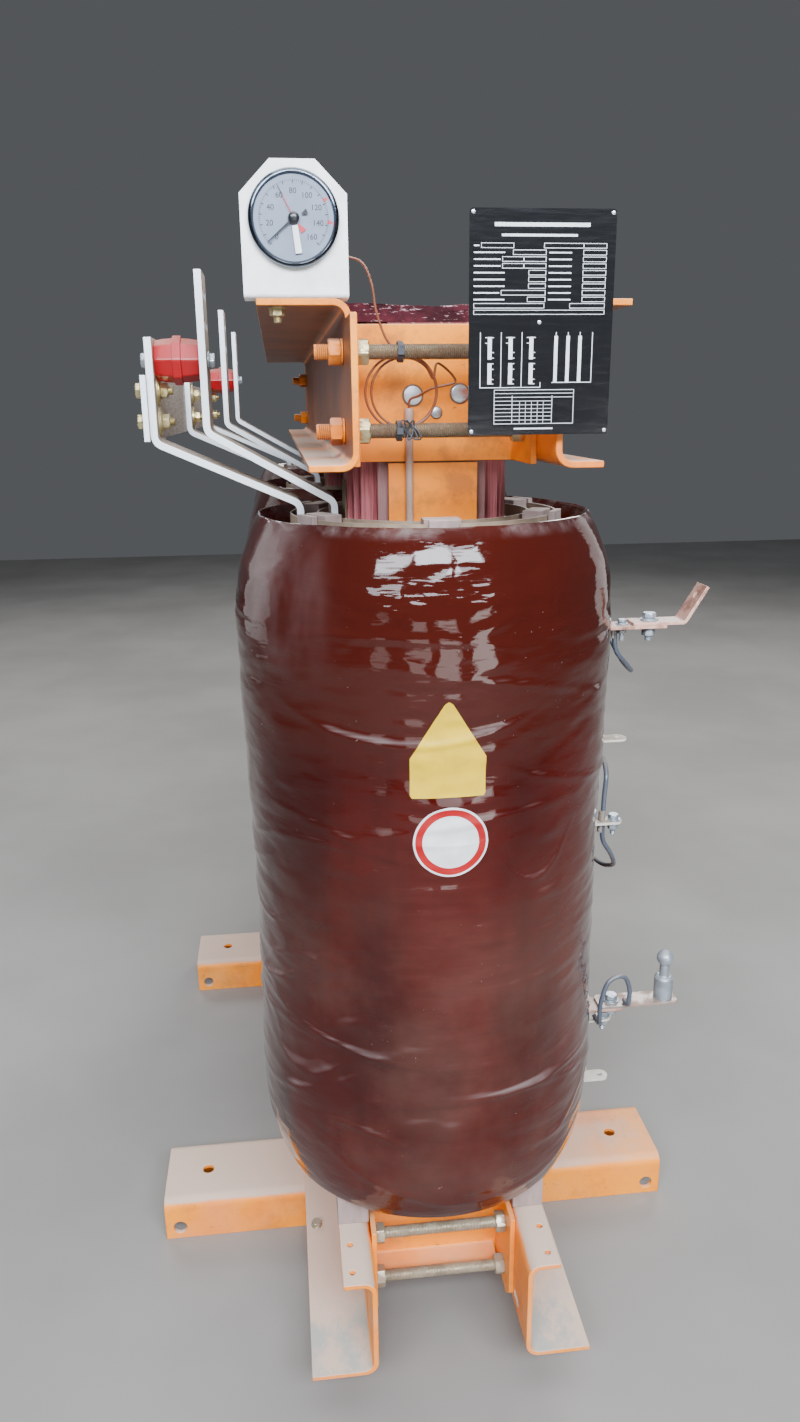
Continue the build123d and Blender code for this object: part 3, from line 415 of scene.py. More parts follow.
def cast_resin():
    """Glossy red brown casting with a thin film of dust, thicker on the rim. The grey film on the left
    shoulder is dust with a painted reflection of daylight, the pale veil lower down is a dust film with a
    painted floor reflection, and the lighter brown of the upper shoulder is a painted sky reflection.
    """
    made = Finish("cast_resin_gloss", specular=0.2)
    across, height = made.part(0), made.part(2)
    streak = made.patches(7.0, 4.0, 0.35, 0.65, stretch=(1.0, 1.0, 0.28))
    # Painted reflection: a pale veil that grows towards the bottom, a dust film with the floor's reflection
    # painted in
    veil_dust_and_reflection = made.times(made.span(height, 1.05, 0.66), made.patches(4.0, 5.0, 0.38, 0.66), 0.12)
    # Painted reflection: the upper shoulder turns a lighter, duller brown, the sky's reflection painted into
    # the colour
    brown = made.span(height, 1.02, 1.14, 0.0, 0.8)
    brushed = made.patches(11.0, 3.0, 0.35, 0.7, stretch=(1.0, 1.0, 0.5), rough=0.5)
    # Left shoulder: grey dust film that also holds a painted reflection of daylight from the left
    left = made.times(made.span(height, 1.14, 1.33), made.span(across, -0.12, -0.26), brushed, 0.8)
    rim = made.times(made.span(height, 1.366, 1.381), made.patches(26.0, 6.0, 0.42, 0.68, 0.05, 0.7))
    ridge = made.times(made.span(made.facing(2), 0.08, 0.34), made.span(height, 1.24, 1.14),
                       made.patches(6.0, 4.0, 0.36, 0.6, 0.15, 0.9))
    specks = made.times(made.patches(190.0, 2.0, 0.72, 0.76), made.patches(9.0, 3.0, 0.52, 0.62))
    film = made.times(made.most(left, rim, ridge, specks), 0.46)
    body = made.layers(paint(48, 9, 5), (streak, paint(66, 15, 9)), (veil_dust_and_reflection, paint(140, 110, 98)),
                       (brown, paint(60, 25, 20)), (film, paint(140, 128, 128)))
    grain = made.times(made.noise(95.0, 2.0, (0.5, 0.5, 1.4)), 0.12)
    ripple = made.maths("ADD", made.noise(30.0, 2.0, (0.6, 0.6, 2.4)), grain)
    return made.finished(body, (ripple, 0.0022, 0.6), Roughness=made.span(film, 0.0, 0.6, 0.06, 0.62),
                         Coat_Weight=made.span(film, 0.1, 0.6, 0.4, 0.15))


def frame_enamel(name, dust, dirt, film=0.05, smear=0.0):
    """Orange enamel: dust on what faces up and a thin film of it elsewhere, dark dirt in patches,
    painted shade in the hollow of the upper channels (dark brown on the webs and on faces that look down,
    with a little grime), chips down to the primer. Where smear is given, the flanges near both ends
    carry streaks of grey cement."""
    made = Finish(name, specular=0.3)
    across, height, upward = made.part(0), made.part(2), made.facing(2)
    tone = made.patches(5.0, 4.0, 0.3, 0.7)
    grime = made.times(made.patches(11.0, 7.0, 0.48, 0.68, rough=0.7), dirt)
    sideways, off_middle = made.size_of(made.facing(0)), made.size_of(across)
    # Painted shade: in the upper channels, the webs' outer faces and the faces that look down go dark brown
    # in patches, with a little grime
    web = made.times(made.span(sideways, 0.7, 0.9), made.span(off_middle, 0.1225, 0.1235))
    hollow = made.times(made.most(web, made.span(upward, -0.6, -0.9)), made.span(height, 1.40, 1.45))
    darker_patch = made.times(hollow, made.patches(5.0, 6.0, 0.32, 0.62, 0.76, 0.94, rough=0.65))
    chips = made.chips(85.0, 0.62)
    veil = made.patches(6.0, 6.0, 0.42, 0.66, 0.0, film, rough=0.65)
    settled = made.most(made.dust(dust, 8.0, 0.4), veil)
    rubbed = made.times(made.span(across, 0.22, 0.42), made.patches(9.0, 5.0, 0.34, 0.56, 0.2, 0.6))
    settled = made.maths("SUBTRACT", settled, made.times(settled, rubbed))
    # The dark brown cover of the channels' hollow is painted shade
    covers = [(tone, paint(252, 150, 28)), (grime, paint(122, 74, 54)), (darker_patch, paint(88, 48, 38)),
              (chips, paint(92, 54, 40)), (settled, FLOOR_DUST)]
    if smear:
        ends = made.times(made.span(made.size_of(made.part(1)), 0.76, 0.85), made.span(height, 0.135, 0.115))
        streaks = made.patches(17.0, 7.0, 0.38, 0.56, 0.1, smear, (1.0, 0.6, 1.0), 0.7)
        covers.append((made.times(ends, streaks, made.span(upward, 0.3, 0.8)), paint(152, 155, 150)))
    peel = made.maths("SUBTRACT", made.noise(260.0, 2.0), made.times(chips, 1.5))
    return made.finished(made.layers(paint(240, 124, 14), *covers), (peel, 0.00035, 0.5),
                         Roughness=made.span(settled, 0.0, 0.8, 0.42, 0.92))


def core_paint():
    """Dull maroon paint over stacked sheets: the sheets stand across X, so the lines run along X.
    The top is darker and flaked, and a grey strip runs up the legs' ends."""
    made = Finish("core_paint")
    height = made.part(2)
    sheets = made.noise(9.0, 5.0, (110.0, 1.2, 1.2), 0.6)
    top = made.span(height, 1.634, 1.640)
    flakes = made.times(top, made.patches(150.0, 4.0, 0.60, 0.66, stretch=(0.5, 0.5, 1.0), rough=0.7))
    strip = made.times(made.span(made.size_of(made.part(0)), 0.0775, 0.0755), made.span(height, 1.50, 1.48),
                       made.span(made.size_of(made.part(1)), 0.700, 0.706), 0.85)
    settled = made.dust(0.3, 12.0, 0.4)
    coat = made.layers(paint(146, 64, 70), (made.span(sheets, 0.3, 0.7), paint(198, 118, 122)),
                       (made.times(top, 0.9), paint(76, 26, 34)), (flakes, paint(160, 128, 134)),
                       (strip, paint(116, 106, 102)), (settled, paint(146, 108, 104)))
    return made.finished(coat, (made.maths("ADD", sheets, made.noise(70.0, 4.0)), 0.0016, 0.8),
                         Roughness=made.span(settled, 0.0, 1.0, 0.55, 0.9))


def crust_paint():
    """Dark rough paint on the top of the yoke, with pale flecks where the sheets' edges broke it."""
    made = Finish("crust_paint", 0.8, specular=0.2)
    fleck = made.patches(120.0, 5.0, 0.58, 0.64, stretch=(0.35, 1.0, 1.6), rough=0.75)
    tone = made.patches(30.0, 4.0, 0.35, 0.65)
    crust = made.layers(paint(48, 16, 24), (tone, paint(80, 32, 42)), (fleck, paint(176, 146, 152)))
    return made.finished(crust, (made.noise(160.0, 4.0), 0.0015, 0.7))


def zinc(name, colour, dirt, soiled=(96, 76, 58), metal=1.0):
    """Passivated zinc, patchy and soiled."""
    made = Finish(name)
    tint = paint(*colour)
    patch = made.patches(40.0, 5.0, 0.35, 0.65)
    soil = made.times(made.patches(24.0, 6.0, 0.42, 0.62, rough=0.7), dirt)
    plate = made.layers(tint, (patch, shade(tint, 0.72)), (soil, paint(*soiled)))
    return made.finished(plate, (made.noise(300.0, 2.0), 0.0002, 0.4),
                         Metallic=made.span(soil, 0.1, 0.8, metal, 0.1),
                         Roughness=made.span(soil, 0.0, 0.8, 0.34, 0.8))


def rolled_bar(name, stretch):
    """Aluminium bar: sheared edges along Y stay bright, the broad faces are dull and stained, with
    rolling marks square to the stretched axis."""
    made = Finish(name)
    edge, grain = made.size_of(made.facing(1)), made.noise(26.0, 4.0, stretch)
    settled = made.dust(0.9, 20.0, 0.3)
    metal = made.layers(paint(132, 118, 106), (made.span(grain, 0.3, 0.7), paint(172, 162, 152)),
                        (made.span(edge, 0.5, 0.8), paint(240, 246, 254)), (settled, GREY_DUST))
    return made.finished(metal, (grain, 0.0004, 0.5), Metallic=made.span(settled, 0.0, 0.8, 0.3, 0.0),
                         Roughness=made.span(edge, 0.5, 0.8, 0.5, 0.34))


def dull_copper():
    """Bare copper gone dull and pale, with pink dust on top and darker stains."""
    made = Finish("dull_copper")
    darker_patch = made.patches(30.0, 6.0, 0.46, 0.68, rough=0.65)
    settled = made.dust(1.1, 18.0, 0.4)
    metal = made.layers(paint(206, 160, 144), (darker_patch, paint(142, 98, 84)), (settled, paint(172, 150, 142)))
    return made.finished(metal, (made.noise(180.0, 3.0), 0.0002, 0.4),
                         Metallic=made.span(settled, 0.0, 0.8, 0.35, 0.0),
                         Roughness=made.span(darker_patch, 0.0, 1.0, 0.34, 0.6))


def dusty_board(name, colour, rough=0.85):
    """Fibre board, glass fibre or resin sheet with dust on its top edges."""
    made = Finish(name, rough)
    tint = paint(*colour)
    fibre = made.patches(50.0, 5.0, 0.3, 0.7, stretch=(1.0, 1.0, 0.25))
    board = made.layers(shade(tint, 0.7), (fibre, tint), (made.dust(1.2, 24.0, 0.3), paint(172, 158, 150)))
    return made.finished(board, (made.noise(140.0, 3.0), 0.0005, 0.5))


def wound_foil(name, row_place):
    """Ends of a foil winding: fine rings round the leg, set in brown resin."""
    made = Finish(name, 0.6)
    centred = made.scaled((1, 1, 1), (0, -row_place, 0))
    inputs = {"Vector": centred, "Scale": 160.0, "Distortion": 1.2, "Detail": 2.0}
    rings = made.node("ShaderNodeTexWave", inputs, wave_type="RINGS", rings_direction="Z").outputs["Fac"]
    ends = made.layers(paint(84, 56, 46), (made.span(rings, 0.2, 0.8), paint(150, 122, 106)),
                       (made.dust(0.8, 24.0, 0.3), paint(150, 136, 126)))
    return made.finished(ends, (rings, 0.0006, 0.6))


def moulded(name, colour, gloss=0.3, dust=0.9, coat=0.3):
    """Moulded plastic or enamel: even colour, faint mottling and settled dust."""
    made = Finish(name, coat=coat)
    tint = paint(*colour)
    mottle, settled = made.patches(35.0, 4.0, 0.3, 0.7), made.dust(dust, 20.0, 0.35)
    body = made.layers(tint, (mottle, shade(tint, 0.84)), (settled, GREY_DUST))
    return made.finished(body, (made.noise(400.0, 2.0), 0.0001, 0.4),
                         Roughness=made.span(settled, 0.0, 0.7, gloss, 0.85))


def bright_steel(name, colour, rough, stains=0.3):
    """Polished or plated steel, rubbed along its height and stained in patches."""
    made = Finish(name, metallic=1.0)
    tint, rub = paint(*colour), made.noise(30.0, 5.0, (1.0, 1.0, 9.0))
    soil = made.times(made.patches(28.0, 6.0, 0.5, 0.7, rough=0.7), stains)
    metal = made.layers(tint, (made.span(rub, 0.3, 0.7), shade(tint, 0.8)), (soil, paint(110, 96, 84)))
    return made.finished(metal, (rub, 0.00008, 0.4),
                         Roughness=made.span(rub, 0.3, 0.7, rough * 0.8, rough * 1.3))


RESIN = cast_resin()
ENAMEL = frame_enamel("frame_enamel", 1.1, 0.5)
LOW_ENAMEL = frame_enamel("lower_frame_enamel", 2.4, 0.3, 0.22, 0.95)
LOW_END_ENAMEL = frame_enamel("lower_end_enamel", 0.5, 0.3, 0.12)
FOOT_ENAMEL = frame_enamel("foot_enamel", 2.6, 0.3, 0.16)
NUT_ENAMEL = frame_enamel("nut_enamel", 0.7, 0.6)
CORE = core_paint()
ZINC = zinc("yellow_zinc", (222, 208, 160), 0.5)
ROD_ZINC = zinc("rod_zinc", (140, 126, 106), 0.9, metal=0.6)
LOW_ROD_ZINC = zinc("dusty_rod_zinc", (182, 168, 146), 0.6, (138, 124, 110), 0.5)
PALE_ZINC = zinc("pale_zinc", (168, 178, 188), 0.5, (120, 112, 104), 0.6)
BAR = rolled_bar("rolled_bar", (1.0, 14.0, 1.0))
LINK_BAR = rolled_bar("rolled_link", (1.0, 1.0, 14.0))
COPPER = dull_copper()
TINNED = zinc("tinned_copper", (164, 154, 146), 0.5, (152, 108, 92), 0.4)
BLOCK = dusty_board("pressed_board", (160, 140, 136))
SHEETS = dusty_board("resin_sheet", (150, 128, 104))
CYLINDER = dusty_board("glass_fibre", (158, 138, 118), 0.6)
RED = moulded("red_moulding", (158, 0, 22), 0.34, 0.5, 0.0)
CREAM = moulded("cream_enamel", (206, 200, 190), 0.45)
WHITE_SHEET = moulded("white_sheet", (250, 252, 255), 0.35, 0.4)
DIAL_FACE = moulded("dial_face", (120, 130, 150), 0.4, 0.0, 0.0)
DIAL_WHITE = moulded("dial_white", (232, 236, 240), 0.4, 0.0, 0.0)
DIAL_BLACK = moulded("dial_black", (30, 32, 38), 0.35, 0.3)
DIAL_RED = moulded("dial_red", (190, 44, 60), 0.4, 0.0)
BEZEL = bright_steel("bezel_steel", (104, 110, 118), 0.14)
PLATE_STEEL = bright_steel("polished_plate", (150, 152, 158), 0.1, 0.15)
STUD_STEEL = bright_steel("plated_steel", (206, 214, 222), 0.35)
SENSOR = moulded("sensor_sheath", (172, 146, 134), 0.45, 0.6, 0.0)
RIM = moulded("stud_rim", (104, 84, 70), 0.5, 0.3, 0.0)
SHEATH = moulded("cable_sheath", (80, 86, 98), 0.35, 0.5)
CAPILLARY = moulded("capillary_copper", (116, 64, 42), 0.4, 0.4, 0.2)
TIE = moulded("tie_black", (58, 62, 70), 0.5, 0.3, 0.0)
ETCHED = moulded("etched_lines", (222, 226, 230), 0.5, 0.0, 0.0)
YELLOW = moulded("yellow_film", (218, 178, 0), 0.5, 0.1, 0.0)
WHITE_FILM = moulded("white_film", (222, 222, 226), 0.4, 0.3, 0.0)
RED_FILM = moulded("red_film", (164, 0, 20), 0.4, 0.1, 0.0)


# CAD pieces with rounded edges


def dressed(node, finish, edge):
    """Merged copy of a CAD piece: flat faces joined, edges over 40 degrees rounded."""
    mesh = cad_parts[node].data.copy()
    work = bmesh.new()
    work.from_mesh(mesh)
    bmesh.ops.remove_doubles(work, verts=work.verts, dist=1e-6)
    bmesh.ops.dissolve_limit(work, angle_limit=radians(0.6), verts=work.verts, edges=work.edges)
    work.to_mesh(mesh)
    work.free()
    mesh.materials.clear()
    mesh.materials.append(finish)
    mesh.shade_smooth()
    mesh.set_sharp_from_angle(angle=radians(38))
    made = in_scene(node + "_finish", mesh)
    rounding = made.modifiers.new("edges", "BEVEL")
    rounding.width = edge
    rounding.segments = 2
    rounding.limit_method = "ANGLE"
    rounding.angle_limit = radians(40)
    rounding.use_clamp_overlap = False
    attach(made, "root")
    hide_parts(node)
    return made


for finish, slot, edge, nodes in (
    (ENAMEL, "frame_paint", 0.0012, ("upper_clamp_left", "upper_clamp_right", "upper_end_brackets")),
    (LOW_ENAMEL, "frame_paint", 0.0012, ("lower_clamp_left", "lower_clamp_right")),
    (LOW_END_ENAMEL, "frame_paint", 0.0012, ("lower_end_brackets",)),
    (FOOT_ENAMEL, "frame_paint", 0.0012, ("foot_near", "foot_far")),
    (ENAMEL, "frame_paint", 0.0008, ("tie_plates",)),
    (CORE, "core_iron", 0.0004, (*("core_leg_" + leg for leg in LEGS), "upper_yoke", "lower_yoke")),
    (BAR, "bar_aluminium", 0.0006, ("lv_tall_bars", "lv_short_bars")),
    (LINK_BAR, "bar_aluminium", 0.0006, ("star_link",)),
    (COPPER, "copper", 0.0005, ("hv_main_lugs", "hv_cable_bars")),
    (TINNED, "copper", 0.0005, ("hv_bottom_bars",)),
    (CREAM, "steel_bright", 0.0004, ("hv_tap_tabs",)),
    (BLOCK, "blocks", 0.0012, ("support_blocks", "spacer_blocks")),
    (WHITE_SHEET, "white_sheet", 0.0003, ("gauge_bracket",)),
    (ENAMEL, "steel_bright", 0.0003, ("rating_arm",)),
    (PALE_ZINC, "steel_bright", 0.0008, ("ball_studs",)),
    (SHEATH, "cable_sheath", 0.0002, ("hv_link_cables",)),
):
    for node in nodes:
        dressed(node, finish, edge)


def coat_cad(node, finish):
    """Gives a CAD piece that stays as it is its finish."""
    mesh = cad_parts[node].data
    if mesh.materials:
        mesh.materials[0] = finish
    else:
        mesh.materials.append(finish)


coat_cad("yoke_insulation", SHEETS)
coat_cad("leg_edge_boards", SHEETS)
coat_cad("insulating_cylinders", CYLINDER)
coat_cad("rating_plate", PLATE_STEEL)
for leg, row in LEGS.items():
    coat_cad("lv_winding_" + leg, wound_foil("wound_foil_" + leg, row))

# Cast windings: heights and radii of the barrel, then drops below the rim and radii of the mouth and bore

PROFILE = np.array((
    (0.320, 0.2550), (0.372, 0.2705), (0.440, 0.2785), (0.600, 0.2775), (0.760, 0.2762),
    (1.130, 0.2825), (1.240, 0.2844), (1.322, 0.2715), (1.384, 0.2440),
))
COIL_FOOT, COIL_RIM, RIM_RADIUS = PROFILE[0, 0], PROFILE[-1, 0], PROFILE[-1, 1]
FOOT_SLOPE, RIM_SLOPE = 0.42, -0.62
# The ripples start over the first of these heights, and the rim's waves fill the second
FOOT_FADE, WAVY_RIM = 0.02, 0.039
MOUTH = ((0.003, 0.2385), (0.012, 0.2330), (0.026, 0.2200), (0.040, 0.2090), (0.060, 0.2080),
         (0.30, 0.2080), (0.80, 0.2080), (1.064, 0.2080))
NEAR_SEED, MIDDLE_SEED, FAR_SEED = 11, 41, 71


def barrel(height):
    """Radius of the barrel at a height: cubic pieces through the profile, each with the slopes of
    its neighbours."""
    z, r = PROFILE.T
    slope = np.gradient(r, z)
    slope[0], slope[-1] = FOOT_SLOPE, RIM_SLOPE
    k = np.clip(np.searchsorted(z, height) - 1, 0, len(z) - 2)
    step = z[k + 1] - z[k]
    t = (height - z[k]) / step
    near = (1 + 2 * t) * (1 - t) ** 2 * r[k] + t * (1 - t) ** 2 * step * slope[k]
    far = t * t * (3 - 2 * t) * r[k + 1] + t * t * (t - 1) * step * slope[k + 1]
    return near + far


def long_folds(turn, up, seed, count=44):
    """Soft ridges where the cast skin was drawn tight. Each follows level = a + b s + c s^2 over a
    part of the turn, s being the way along it, and its section is exp(-(distance / width)^2)."""
    luck = np.random.default_rng(seed)
    total = np.zeros(np.broadcast(turn, up).shape)
    for _ in range(count):
        centre, half, level = luck.random(), luck.uniform(0.05, 0.17), luck.uniform(0.02, 0.99)
        tilt, bend = luck.uniform(-0.05, 0.05), luck.uniform(-0.06, 0.09)
        width, high = luck.uniform(0.0030, 0.0068), luck.uniform(0.0008, 0.0026)
        along = (np.mod(turn - centre + 0.5, 1) - 0.5) / half
        distance = up - (level + tilt * along + bend * along ** 2)
        total += high * np.exp(-(distance / width) ** 2) * np.clip(1 - along ** 2, 0, 1)
    return total


def ripples(turn, height, seed):
    """How far the casting stands out at a place: broad lumps, slack bands that sag as they go round,
    sharp folds along them, long drawn folds, and a fine roll of short waves."""
    up = (height - COIL_FOOT) / (COIL_RIM - COIL_FOOT)
    sag = 0.10 * (blotches(turn, up, 6, 3, seed) - 0.5) + 0.03 * (blotches(turn, up, 13, 8, seed + 1) - 0.5)
    level = up + sag
    lumps = 0.0034 * (blotches(turn, up, 7, 7, seed + 2) - 0.5)
    bands = 0.0024 * (blotches(turn, level, 9, 30, seed + 3) - 0.5)
    crease = 1 - np.abs(2 * blotches(turn, level, 8, 19, seed + 4) - 1)
    folds = 0.0016 * crease ** 6 * blotches(turn, up, 10, 8, seed + 5)
    roll = 0.0017 * (blotches(turn, level, 34, 70, seed + 6) - 0.5)
    chop = 0.0006 * (blotches(turn, up, 74, 100, seed + 7) - 0.5)
    return lumps + bands + folds + roll + chop + long_folds(turn, up, seed + 9)


def casting(leg, around, rows, seed):
    """Outer skin, thin wavy rim, mouth and bore of a winding, as one closed surface.

    A ring at profile point (r, z) is (r sin a, r cos a) round the leg, with the ripples added to r.
    The columns stand closer together on the near side.
    """
    turn = full_turn(around)[None] / TURN
    turn = turn - 0.35 * np.sin(TURN * turn) / TURN
    height = np.linspace(COIL_FOOT, COIL_RIM, rows)[:, None]
    rim_wave = 0.0022 * (blotches(turn, turn * 0, 11, 2, seed + 7) - 0.5)
    rim_wave = rim_wave + 0.0012 * (blotches(turn, turn * 0, 37, 2, seed + 8) - 0.5)
    fade = np.clip((height - COIL_FOOT) / FOOT_FADE, 0, 1)
    skin = barrel(height) + fade * ripples(turn, height, seed)
    lift = rim_wave * np.clip((height - COIL_RIM) / WAVY_RIM + 1, 0, 1) ** 2
    outer = np.stack([skin, height + lift], axis=-1)
    top = outer[-1:]
    inner = [top + (-0.0015, 0.0012), top + (-0.0035, 0.0010)]
    for drop, radius in MOUTH:
        share = np.clip(1 - drop / 0.05, 0, 1)
        level = top[..., 1] if drop < 0.5 else COIL_RIM + 0 * top[..., 1]
        inner.append(np.stack([radius + share * (top[..., 0] - RIM_RADIUS), level - drop], axis=-1))
    loop = np.concatenate([outer, *inner], axis=0)
    radius, level = loop[..., 0], loop[..., 1]
    angle = TURN * np.broadcast_to(turn, radius.shape)
    rings = np.stack([radius * np.sin(angle), LEGS[leg] - radius * np.cos(angle), level], axis=-1)
    piece("casting_" + leg, [rings_shell(rings, loop=True)], RESIN, ["hv_coil_" + leg], 60)


casting("near", 400, 226, NEAR_SEED)
casting("middle", 240, 140, MIDDLE_SEED)
casting("far", 240, 140, FAR_SEED)


def on_near_casting(across, height, lift):
    """Places on the front of the near casting: the angle whose sine is across / r."""
    angle = np.arcsin(np.clip(across / barrel(height), -1, 1))
    radius = barrel(height) + ripples(np.mod(angle / TURN, 1), height, NEAR_SEED) + lift
    return np.stack([radius * np.sin(angle), LEGS["near"] - radius * np.cos(angle), height], axis=-1)


# Yellow sticker, a straight block with its lower corners cut, below a taper with a rounded tip
STICKER_X, STICKER_HALF = -0.006, 0.051
STICKER_LOW, CORNER_TOP, TAPER_FOOT, STICKER_TIP = 1.032, 1.036, 1.088, 1.166
level = np.linspace(STICKER_LOW, STICKER_TIP, 70)[:, None]
taper = np.clip((level - TAPER_FOOT) / (STICKER_TIP - TAPER_FOOT), 0, 1)
half_width = STICKER_HALF - 0.0475 * taper
half_width = half_width * np.sqrt(np.clip(1 - np.clip((taper - 0.95) / 0.05, 0, 1) ** 2, 0.04, 1))
half_width = np.where(level < CORNER_TOP, STICKER_HALF - (CORNER_TOP - level) * 0.6, half_width)
span = np.linspace(-1, 1, 50)[None]
yellow = on_near_casting(STICKER_X + half_width * span, level + 0 * span, 0.0008)
piece("yellow_sticker", [sheet(yellow, 0.0005)], YELLOW)

# Round sticker, a white disc with a red ring just inside its edge
DISC_X, DISC_Z = -0.002, 0.967
for name, inner, outer, finish, lift in (
    ("white_sticker", 0.0004, 0.0510, WHITE_FILM, 0.0008),
    ("red_ring", 0.0385, 0.0480, RED_FILM, 0.0011),
):
    reach = np.linspace(inner, outer, 21)
    reach = np.concatenate([reach, reach[::-1]])[None]
    level = np.repeat((lift, lift - 0.0004), 21)[None]
    ring_turn = full_turn(120)[:, None]
    across, height = DISC_X + reach * np.sin(ring_turn), DISC_Z + reach * np.cos(ring_turn)
    disc = on_near_casting(across, height, level)
    piece(name, [rings_shell(disc, loop=True)], finish)

# Tie rods and their nuts: the outer nuts and the rod ends outside them carry the frame's enamel

ROD_WIDE, ROD_PITCH, NUT_FLATS, NUT_HIGH, LOCK_THICK = 0.020, 0.0025, 0.030, 0.016, 0.003
for level, heights in ROD_LEVELS.items():
    rods, inner_nuts, outer_nuts = [], [], []
    for end in (-1, 1):
        for k, z in enumerate(heights):
            y = end * ROD_Y
            rods.append(threaded((-ROD_REACH, y, z), (1, 0, 0), 2 * ROD_REACH, ROD_WIDE, ROD_PITCH))
            for side in (-1, 1):
                spin, out, inside = 0.3 * k + 0.5 * side + 0.2 * end, (side, 0, 0), side * CLAMPED_INSIDE
                lock, nut, thread = (side * (CLAMPED_OUTSIDE + past) for past in (0, LOCK_THICK, 0.0185))
                inner_nuts.append(hexagon((inside, y, z), (-side, 0, 0), NUT_FLATS, NUT_HIGH, spin))
                outer_nuts.append(toothed_washer((lock, y, z), out, 0.033, LOCK_THICK))
                outer_nuts.append(hexagon((nut, y, z), out, NUT_FLATS, NUT_HIGH, spin + 0.4))
                outer_nuts.append(threaded((thread, y, z), out, 0.018, ROD_WIDE + 0.0006, ROD_PITCH))
    rod_finish, nut_finish = (ROD_ZINC, ZINC) if level == "upper" else (LOW_ROD_ZINC, LOW_ROD_ZINC)
    piece(level + "_rod_threads", rods, rod_finish, [level + "_tie_rods"])
    piece(level + "_inner_nuts", inner_nuts, nut_finish, [level + "_tie_rod_nuts"])
    piece(level + "_outer_nuts", outer_nuts, NUT_ENAMEL, [level + "_tie_rod_nuts"])


def fastener(outer, inner, axis, wide, washer_wide, stick_out, spin):
    """Bolt through two faces: head and washer outside the first, washer, nut and thread end outside
    the second. The axis points from the first face to the second."""
    axis, outer, inner = (np.asarray(v, dtype=float) for v in (axis, outer, inner))
    thick, flats, nut_high = 0.2 * wide, 1.6 * wide, 0.8 * wide
    nut_end = 2 * thick + nut_high
    return [
        washer(outer - axis * thick, axis, washer_wide, thick),
        spring_washer(outer - axis * thick, -axis, washer_wide * 0.78, thick),
        hexagon(outer - axis * 2 * thick, -axis, flats, 0.62 * wide, spin),
        washer(inner, axis, washer_wide, thick),
        spring_washer(inner + axis * thick, axis, washer_wide * 0.78, thick),
        hexagon(inner + axis * 2 * thick, axis, flats, nut_high, spin + 0.4),
        threaded(inner + axis * (nut_end - 0.002), axis, stick_out + 0.002, wide, 0.15 * wide, 12),
    ]


def standoff(row):
    """Octagonal moulding that widens to a raised band in its middle: r of the profile is cut to the
    octagon, r cos(pi / 8) / cos(a), with its corners on the axes."""
    half, shares = 0.03125, (0, 0.04, 0.45, 0.80, 0.82, 1.0)
    radii = (0.0262, 0.0272, 0.0292, 0.0300, 0.0334, 0.0336)
    along = [(share - 1) * half for share in shares]
    along, radii = along + [-s for s in along[-2::-1]], radii + radii[-2::-1]
    angle = full_turn(96)
    sector = np.mod(angle, np.pi / 4) - np.pi / 8
    outline = np.minimum(np.cos(np.pi / 8) / np.cos(sector), 0.985)
    rows = []
    for s, r in zip(along, radii):
        y, z = row + r * outline * np.cos(angle), STANDOFF_Z + r * outline * np.sin(angle)
        rows.append(np.stack([0 * angle + STANDOFF_X + s, y, z], axis=-1))
    return rings_shell(rows)


# Bolts of the star link and of the standoff insulators
link_bolts, standoff_bolts, standoffs = [], [], []
for leg, row in LEGS.items():
    for k, z in enumerate((1.515, 1.557)):
        front, back = (LINK_FRONT, row, z), (LINK_BACK, row, z)
        link_bolts += fastener(front, back, (1, 0, 0), 0.012, 0.040, 0.007, k + row)
    if leg == "middle":
        continue
    for way in (-1, 1):
        face = STANDOFF_X + way * STANDOFF_REACH
        standoff_bolts.append(washer((face, row, STANDOFF_Z), (way, 0, 0), 0.024, 0.002))
        standoff_bolts.append(hexagon((face + way * 0.002, row, STANDOFF_Z), (way, 0, 0), 0.019, 0.0075, row))
    standoffs.append(standoff(row))
piece("star_link_bolts", link_bolts, ZINC)
piece("standoff_bolts", standoff_bolts, PALE_ZINC)
piece("standoff_mouldings", standoffs, RED, ["standoff_insulators"], 12)


def crimp_lug(seat, way, out, wide=0.013, barrel_wide=0.0115):
    """Cable lug: a flat tongue with a round end that lies on the seat, and a pressed barrel that
    stands `out` along the cable's direction."""
    seat, way, out = (np.asarray(v, dtype=float) for v in (seat, way, out))
    side = np.cross(way, out)
    angle = np.linspace(0, np.pi, 13)
    edge = [seat - way * wide / 2 * np.sin(a) + side * wide / 2 * np.cos(a) for a in angle]
    edge += [seat + way * 0.012 - side * wide / 2, seat + way * 0.012 + side * wide / 2]
    tongue = rings_shell([edge, [p + out * 0.0025 for p in edge]])
    foot = seat + way * 0.013 + out * 0.001
    profile = [(barrel_wide / 2, 0), (barrel_wide / 2, 0.016), (barrel_wide / 2 - 0.0008, 0.0165)]
    return [tongue, turned(profile, foot, out, 20)]


